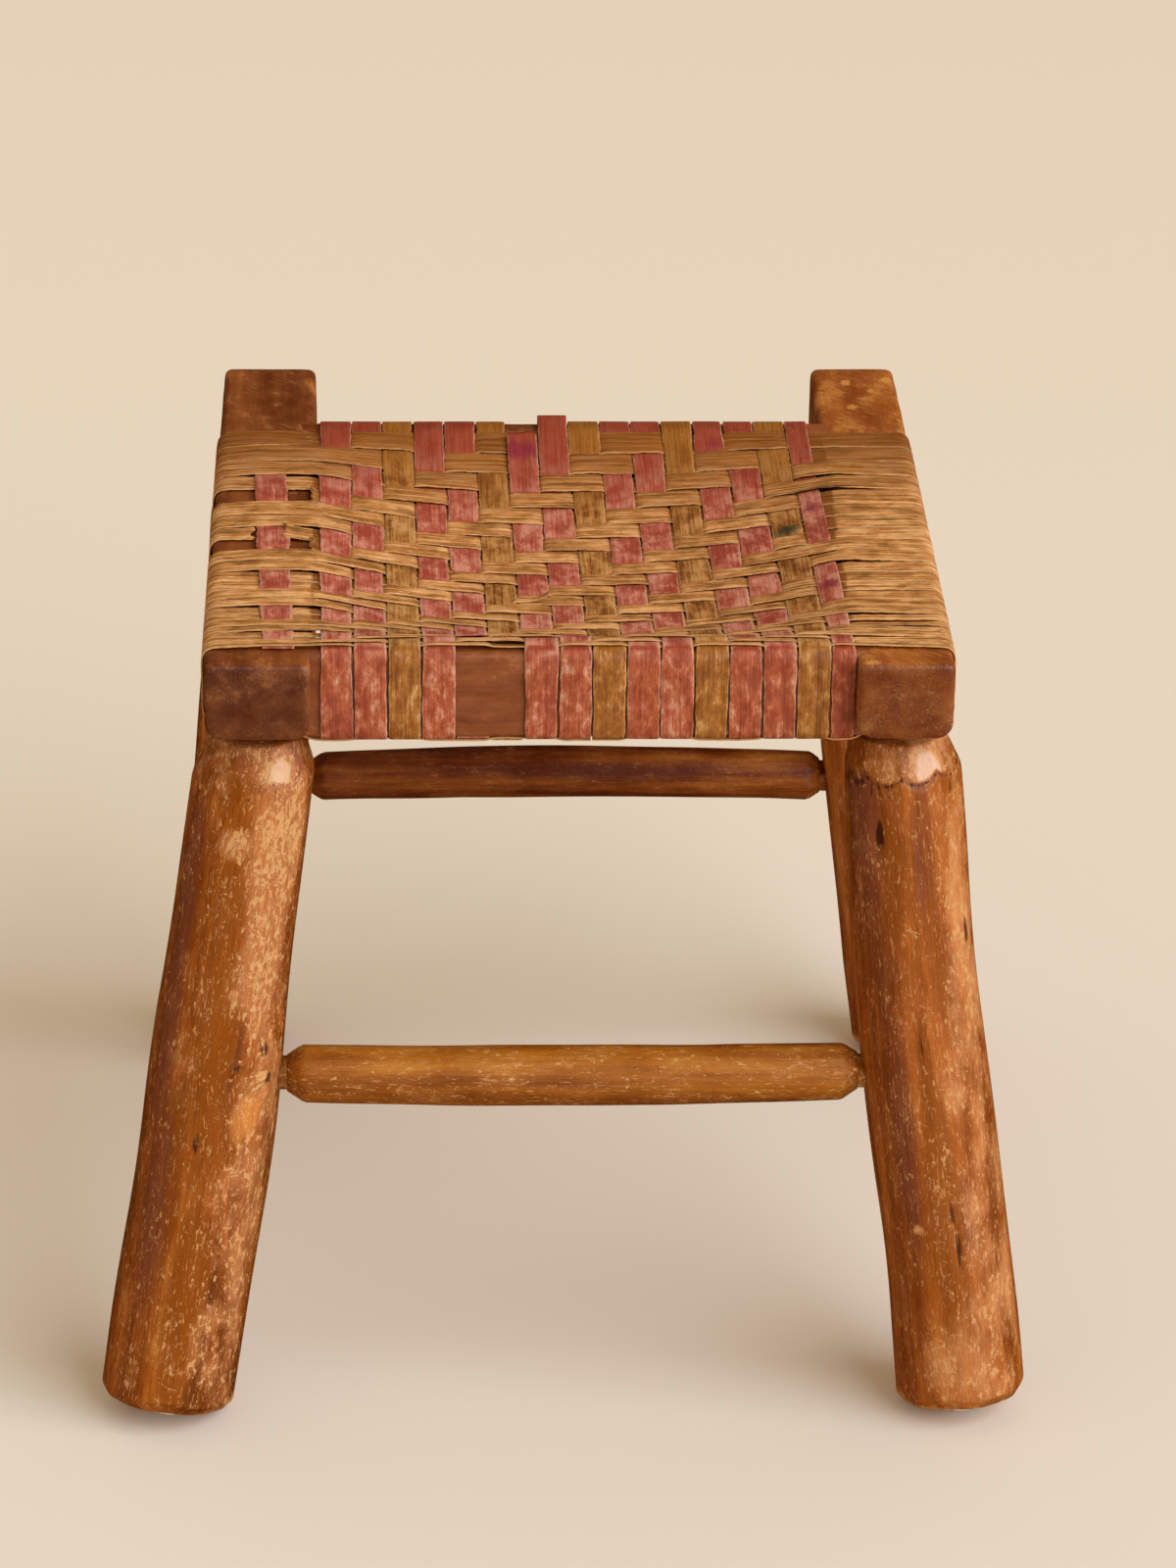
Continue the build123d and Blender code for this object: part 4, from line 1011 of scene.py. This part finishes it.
def splint_tree():
    """Turn the middle surface of a splint into a solid strip: raised fibres along it, ragged long edges,
    thinner towards its edges, closed on all sides."""
    tree, keys, given = new_tree("pull_splint", Thickness="Float", Height="Float", Width="Float", Wear="Float")
    outward, across, grain, edge, heft = [
        add(tree, "GeometryNodeInputNamedAttribute", {"Name": name},
            data_type="FLOAT" if name in ("edge", "heft") else "FLOAT_VECTOR").outputs[0]
        for name in ("outward", "across", "grain", "edge", "heft")]
    stretched = add(tree, "VectorMath", {0: grain, 1: (1.0, 1.0, 0.05)}, operation="MULTIPLY")
    density = add(tree, "Math", {0: 1.0, 1: given["Width"]}, operation="DIVIDE")
    raised = add(tree, "TexNoise", {"Vector": stretched, "Scale": density, "Detail": 1.0})
    inward = add(tree, "TexNoise", {"Vector": grain, "Scale": 190.0, "Detail": 5.0, "Roughness": 0.8})
    inward = add(tree, "MapRange", {"Value": inward, "From Min": 0.42, "From Max": 0.72})
    side = add(tree, "Math", {0: edge, 1: 5.0}, operation="POWER")
    for operation, value in (("SUBTRACT", 0.5), ("MULTIPLY", given["Height"])):
        raised = add(tree, "Math", {0: raised, 1: value}, operation=operation)
    for value in (side, given["Wear"]):
        inward = add(tree, "Math", {0: inward, 1: value}, operation="MULTIPLY")
    full = add(tree, "Math", {0: given["Thickness"], 1: heft}, operation="MULTIPLY")
    drop = add(tree, "Math", {0: full, 1: -0.5, 2: raised}, operation="MULTIPLY_ADD")
    sunk, worn, grow = [add(tree, "VectorMath", {0: way, "Scale": length}, operation="SCALE")
        for way, length in ((outward, drop), (across, inward), (outward, full))]
    offset = add(tree, "VectorMath", {0: sunk, 1: worn}, operation="SUBTRACT")
    lower = add(tree, "GeometryNodeSetPosition", {"Geometry": given["Geometry"], "Offset": offset})
    raised = add(tree, "GeometryNodeExtrudeMesh",
        {"Mesh": lower, "Offset Scale": 0.0, "Individual": False}).outputs
    upper = add(tree, "GeometryNodeSetPosition", {"Geometry": raised["Mesh"], "Selection": raised["Top"],
        "Offset": grow})
    back = add(tree, "GeometryNodeFlipFaces", {"Mesh": lower})
    both = add(tree, "GeometryNodeJoinGeometry")
    tree.links.new(back.outputs[0], both.inputs[0])
    tree.links.new(upper.outputs[0], both.inputs[0])
    end_tree(tree, given, add(tree, "GeometryNodeMergeByDistance", {"Geometry": both, "Distance": 2e-6}))
    return tree, keys


def fibre_tree():
    """Turn lines into loose fibres: round, thinner towards the tip, bent a little by chance, closed."""
    tree, keys, given = new_tree("loose_fibres", Radius="Float", Waver="Float", Seed="Int")
    curve = add(tree, "GeometryNodeMeshToCurve", {"Mesh": given["Geometry"]})
    place = add(tree, "GeometryNodeInputPosition")
    waver = add(tree, "TexNoise", {"Vector": place, "W": given["Seed"], "Scale": 180.0}, noise_dimensions="4D")
    waver = add(tree, "VectorMath", {0: waver.outputs["Color"], 1: (0.5, 0.5, 0.5)}, operation="SUBTRACT")
    along = add(tree, "GeometryNodeSplineParameter").outputs["Factor"]
    reach = add(tree, "Math", {0: along, 1: given["Waver"]}, operation="MULTIPLY")
    waver = add(tree, "VectorMath", {0: waver, "Scale": reach}, operation="SCALE")
    curve = add(tree, "GeometryNodeSetPosition", {"Geometry": curve, "Offset": waver})
    taper = add(tree, "MapRange", {"Value": along, "To Min": 1.0, "To Max": 0.35})
    radius = add(tree, "Math", {0: taper, 1: given["Radius"]}, operation="MULTIPLY")
    ring = add(tree, "GeometryNodeCurvePrimitiveCircle", {"Resolution": 6, "Radius": 1.0})
    end_tree(tree, given, add(tree, "GeometryNodeCurveToMesh", {"Curve": curve, "Profile Curve": ring,
        "Scale": radius, "Fill Caps": True}))
    return tree, keys


def grown(made, tree, keys, **sizes):
    """Run a tree on an object once and keep the result as its plain mesh."""
    modifier = made.modifiers.new("grow", "NODES")
    modifier.node_group = tree
    for title, value in sizes.items():
        modifier[keys[title]] = value
    solid = bpy.data.meshes.new_from_object(made.evaluated_get(bpy.context.evaluated_depsgraph_get()))
    made.modifiers.clear()
    flat = made.data
    made.data = solid
    bpy.data.meshes.remove(flat)
    solid.name = made.name
    solid.shade_smooth()


SPLINT_TREE, SPLINT_KEYS = splint_tree()
FIBRE_TREE, FIBRE_KEYS = fibre_tree()
SAMPLE_STEP = 1.9
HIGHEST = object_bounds()[1].z / MM - 0.6
EDGES = np.array((-1.0, -0.95, -0.78, -0.45, 0.0, 0.45, 0.78, 0.95, 1.0))
HEFT = np.array((0.45, 0.85, 1.0, 1.0, 1.0, 1.0, 1.0, 0.85, 0.45))
MIDDLE = len(EDGES) // 2


def softened(values):
    """A path smoothed along its length, with both ends held where they are."""
    spread, reach = 3, 1.15
    kernel = np.exp(-0.5 * (np.arange(-spread, spread + 1) / reach) ** 2)
    kernel /= kernel.sum()
    head = 2 * values[0] - values[spread:0:-1]
    tail = 2 * values[-1] - values[-2:-spread - 2:-1]
    long = np.concatenate([head, values, tail])
    return np.stack([np.convolve(long[:, k], kernel, mode="valid") for k in range(3)], axis=1)


def surface_of(stations, seed, width_share, shingle, curls, narrow):
    """Middle surface of one splint, with what its material and its tree read. shingle is how far its front
    edge stands up over its neighbour, curls how far each end turns up, and narrow lists where it is split."""
    random = np.random.default_rng(seed)
    first, second, out = np.array(stations).transpose(1, 0, 2)
    reach = np.insert(np.cumsum(np.linalg.norm(np.diff((first + second) / 2, axis=0), axis=1)), 0, 0.0)
    reach += np.arange(len(reach)) * 1e-7
    count = max(int(reach[-1] / SAMPLE_STEP), 12)
    along = np.linspace(0, reach[-1], count)
    first, second, out = [
        softened(np.stack([np.interp(along, reach, line) for line in values.T], axis=1))[:, None]
        for values in (first, second, out)]
    along, out, across, middle = along[:, None], unit(out), unit(second - first), (first + second) / 2
    travel = unit(np.gradient(middle, axis=0))
    x, z = middle[..., 0], middle[..., 2]
    place = np.stack([along, np.full_like(along, seed * 31.0), 0 * along], axis=2)
    share = width_share + 0.06 * ripple(place, seed, 60) + 0.03 * ripple(place, seed + 5, 14)
    for split_x, length, lost in narrow:
        share -= lost * bell((x - split_x, length), power=2) * (z > RAIL_BOTTOM + 20)
    drift = 0.25 * ripple(place, seed + 50, 90)
    beside = ramp(np.abs(x - OPENING_MIDDLE), OPENING_HALF - 6, OPENING_HALF + 2)
    tilt = 0.1 * ripple(place, seed + 70, 45) - shingle * (1 - 0.8 * beside)
    half = np.linalg.norm(second - first, axis=2) * share / 2 * EDGES
    points = middle + across * (half + drift)[..., None]
    rise = 0.03 * (1 - EDGES ** 2) + tilt * EDGES
    for curl, distance in zip(curls, (along, along[-1] - along)):
        if curl:
            rise = rise + curl * np.exp(-distance / 3.2) * (1 + 0.3 * EDGES)
            jag = random.uniform(-1.5, 1.5, len(EDGES))
            points += travel * (ramp(distance, 6, 0) * jag)[..., None]
    points += out * rise[..., None]
    points[..., 2] = np.minimum(points[..., 2], HIGHEST)
    x, y, z = points.transpose(2, 0, 1)
    grain = np.stack([half, 0 * half, along + 0 * half], axis=2) + np.array((41.0, 23.0, 113.0)) * seed
    wrapped = ramp(y, FRONT_FACE + 5, FRONT_FACE)
    # Pale long edges are wear and in part a painted highlight; the front of the seat is worn paler
    wear_and_highlight = np.abs(EDGES) ** 6 * 0.7 + (1 - wrapped) * 0.4 * ramp(y, -50, -150)
    # Grime gathers at the back, and where a splint dives under another it is darkened with painted shade
    inside = (np.abs(x - OPENING_MIDDLE) < OPENING_HALF) & (z > RAIL_BOTTOM)
    inside = inside & (y < SAG_BACK) & (y > SAG_FRONT - 14)
    level = (z - top_z(x, y))[:, MIDDLE, None] / LIFT
    painted_dive_shade = np.where(inside, ramp(level, 0.75, -0.15), 0)
    age_and_shade = ramp(y, -10, 100) * (1 - wrapped)
    age_and_shade = np.maximum(age_and_shade * 0.8, 0.75 * painted_dive_shade + 0.25 * age_and_shade)
    return points, out, across, grain, np.stack([wear_and_highlight, age_and_shade, 0 * wear_and_highlight, wrapped], axis=2)


def build_splint(name, node, slot, stations, seed, material, width_share=1.0, shingle=0.0, curls=(0.0, 0.0),
        stains=(), narrow=(), edge_wear=1.2):
    """One splint as a finished piece. A stain has its place, its reach along X and Y, and its strength."""
    points, out, across, grain, marks = surface_of(stations, seed, width_share, shingle, curls, narrow)
    x, y, z = points.transpose(2, 0, 1)
    for stain_x, stain_y, reach_x, reach_y, strength in stains:
        value = strength * bell((x - stain_x, reach_x), (y - stain_y, reach_y))
        value = np.where(z < (RAIL_BOTTOM + SEAT_HEIGHT) / 2, 0, value)
        raise_mask(marks, SPLINT_MASKS.index("stained"), value)
    index = np.arange(x.size).reshape(x.shape)
    faces = np.stack([index[:-1, :-1], index[1:, :-1], index[1:, 1:], index[:-1, 1:]], axis=2).reshape(-1, 4)
    half_way = len(points) // 2
    travel = points[half_way + 1, MIDDLE] - points[half_way, MIDDLE]
    if np.dot(np.cross(travel, across[half_way, 0]), out[half_way, 0]) < 0:
        faces = faces[:, ::-1]
    made = make_object(name, points.reshape(-1, 3), faces.tolist(), {
        "grain": grain * MM, "marks": marks, "outward": np.broadcast_to(out, points.shape),
        "across": np.broadcast_to(across, points.shape), "edge": np.tile(EDGES, len(points)),
        "heft": np.tile(HEFT, len(points))})
    grown(made, SPLINT_TREE, SPLINT_KEYS, Thickness=THICKNESS * MM, Height=0.1 * MM, Width=1.6 * MM,
        Wear=edge_wear * MM, Material=material)
    finish_piece(made, slot, node)


WARP_CURLS = {BROKEN_BACK_WARP: (0.5, 0.0), 5: (0.0, 1.0), 6: (0.0, 1.4)}
WARP_STAINS = {5: ((-48, 40, 6, 8, 0.4),), 7: ((-19, 81, 14, 10, 1.0),), 8: ((-11, 60, 4, 14, 0.6),),
    13: ((78, 84, 9, 10, 0.7),), 15: ((110, -17, 9, 7, 1.0),),
    16: ((123, 4, 9, 8, 0.8), (125.5, -92, 9, 7, 0.9))}
WEFT_CURLS = {5: (1.6, 0.0), 9: (1.2, 0.0), 8: (1.2, 0.5)}
WEFT_SPLITS = {17: ((152, 22, 0.2),), 18: ((152, 24, 0.75),), 19: ((152, 22, 0.25),)}
for column in range(1, WARPS + 1):
    slot, wood = ("tan_splint", tan_wood) if column in TAN_WARPS else ("red_splint", red_wood)
    build_splint(f"warp_{column:02d}", f"warp_splint_{column:02d}", slot, warp_stations(column), 100 + column,
        wood, curls=WARP_CURLS.get(column, (0.0, 0.0)), stains=WARP_STAINS.get(column, ()), edge_wear=0.6)
chance = np.random.default_rng(7)
for row in range(1, WEFTS + 1):
    build_splint(f"weft_{row:02d}", f"weft_splint_{row:02d}", "weft_splint", weft_stations(row), 200 + row,
        weft_wood, chance.uniform(1.04, 1.16), chance.uniform(0.2, 0.55),
        WEFT_CURLS.get(row, (0.0, 0.0)), narrow=WEFT_SPLITS.get(row, ()))
tail = [(line[0], FIRST_ROW_Y + 3.5, SEAT_HEIGHT + SKIN) for line in COLUMNS[0]]
rail_run = [(*tail, UP)] + joined(warp_cell(0, row, UP) for row in range(1, WEFTS + 1))
build_splint("rail_strip", "rail_splint", "red_splint", rail_run, 99, red_wood, stains=((-139, 79, 9, 8, 0.7),))


def seat_point(x, y, lift=0.0):
    """A point on the seat's upper surface."""
    return x, y, top_z(x, y) + LIFT + THICKNESS / 2 + lift


# A sliver that has broken out of a weft and lifts off the seat
sliver = [(seat_point(x, -80.5, lift), seat_point(x + 1.0, -76.5, lift * 1.5), UP)
    for x, lift in ((-26, 0.15), (-20, 0.3), (-15, 1.2), (-11, 2.6), (-8, 3.4))]
build_splint("broken_sliver", "weft_splint_12", "weft_splint", sliver, 240, weft_wood, curls=(0.0, 0.6))

# Loose fibres at torn ends, along ragged edges and where splints turn over the rails: where each starts, the
# way it goes in degrees from +X, its length and how far its tip lifts
loose = [(-121, 84, 176, 7, 2.2), (-122, 88, 160, 5, 1.5), (-132, 21, 170, 8, 2.0), (-131, 17, 200, 6, 1.6),
    (-119, 4, 168, 7, 2.0), (-118, 8, 190, 5, 1.4), (-9, -79, 30, 6, 3.0), (-11, -76, 80, 5, 2.2),
    (171, -160, 20, 7, 1.5), (172, -164, -40, 8, 0.6), (172, -152, 10, 6, 1.2), (120, 96, 100, 6, 1.0)]
loose += [(chance.uniform(-120, 128), chance.uniform(-160, 95), chance.choice((0, 180)) + chance.normal(0, 16),
    chance.uniform(3, 9), chance.uniform(0.2, 1.1)) for _ in range(110)]
FIBRE_STEPS = 6
fibre_points, fibre_lines = [], []
for start_x, start_y, way, length, lift in loose:
    start = len(fibre_points)
    for share in np.linspace(0, 1, FIBRE_STEPS + 1):
        go = math.radians(way + 30 * share * share)
        x, y = start_x + math.cos(go) * length * share, start_y + math.sin(go) * length * share
        base = seat_point(min(max(x, -170), 177), y)[2] if abs(start_x) < 150 else SEAT_HEIGHT + 1.5
        fibre_points.append((x, y, min(base - 0.3 + lift * share ** 1.5, HIGHEST)))
    fibre_lines += [(start + step, start + step + 1) for step in range(FIBRE_STEPS)]
fibres = make_object("loose_fibres", fibre_points, [], {"grain": np.array(fibre_points) * MM * 3}, fibre_lines)
grown(fibres, FIBRE_TREE, FIBRE_KEYS, Radius=0.22 * MM, Waver=1.6 * MM, Seed=3, Material=weft_wood)
finish_piece(fibres, "weft_splint", "weft_splint_12")

# The glides and their nails keep their shapes and get their real finish
for name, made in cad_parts.items():
    if "glide" in name:
        dress(made, nail_steel if name == "glide_nails" else glide_nylon)

# A floor of matte paper, with painted shade that makes it a little darker towards the back
floor = make_object("floor", [(-6000, -5000, 0), (6000, -5000, 0), (6000, 7000, 0), (-6000, 7000, 0)],
    [(0, 1, 2, 3)], {})
paper, tree, shader = blank("matte_paper_backdrop")
depth = add(tree, "TexCoord").outputs["Object"]
depth = add(tree, "SeparateXYZ", {0: depth}).outputs["Y"]
depth = add(tree, "MapRange", {"Value": depth, "From Min": -0.7, "From Max": 2.0})
colour = add(tree, "ValToRGB", {0: depth}, stops=((0.0, "EADCC9"), (1.0, "E5D3BA"))).outputs[0]
tree.links.new(colour, shader.inputs["Base Color"])
shader.inputs["Roughness"].default_value = 0.9
dress(floor, paper)
floor.visible_glossy = False

world = bpy.data.worlds.new("studio")
bpy.context.scene.world = world
world.use_nodes = True
background = world.node_tree.nodes["Background"].inputs
background["Color"].default_value = linear("FFEED0")
background["Strength"].default_value = 0.6
world.cycles_visibility.glossy = False

# One broad key light from the front right, far off, so that its level is the same all over the floor
key = bpy.data.lights.new("key", "SUN")
key.energy = 3.68
key.angle = 1.1
key.color = (0.734, 0.831, 1.0)
key_light = placed("key", key)
key_light.rotation_euler = Vector((-0.67, 0.55, -0.5)).to_track_quat("-Z", "Y").to_euler()

lens = bpy.data.cameras.new("camera")
lens.lens = 147.41
camera = placed("camera", lens)
pitch, yaw, roll = math.radians(25.0), math.radians(2.04), math.radians(0.754)
camera.matrix_world = (Matrix.Translation((-0.08981, -2.9203, 1.61045)) @ Matrix.Rotation(-yaw, 4, "Z")
    @ Matrix.Rotation(math.pi / 2 - pitch, 4, "X") @ Matrix.Rotation(roll, 4, "Z"))
bpy.context.scene.camera = camera
bpy.context.scene.view_settings.view_transform = "Standard"
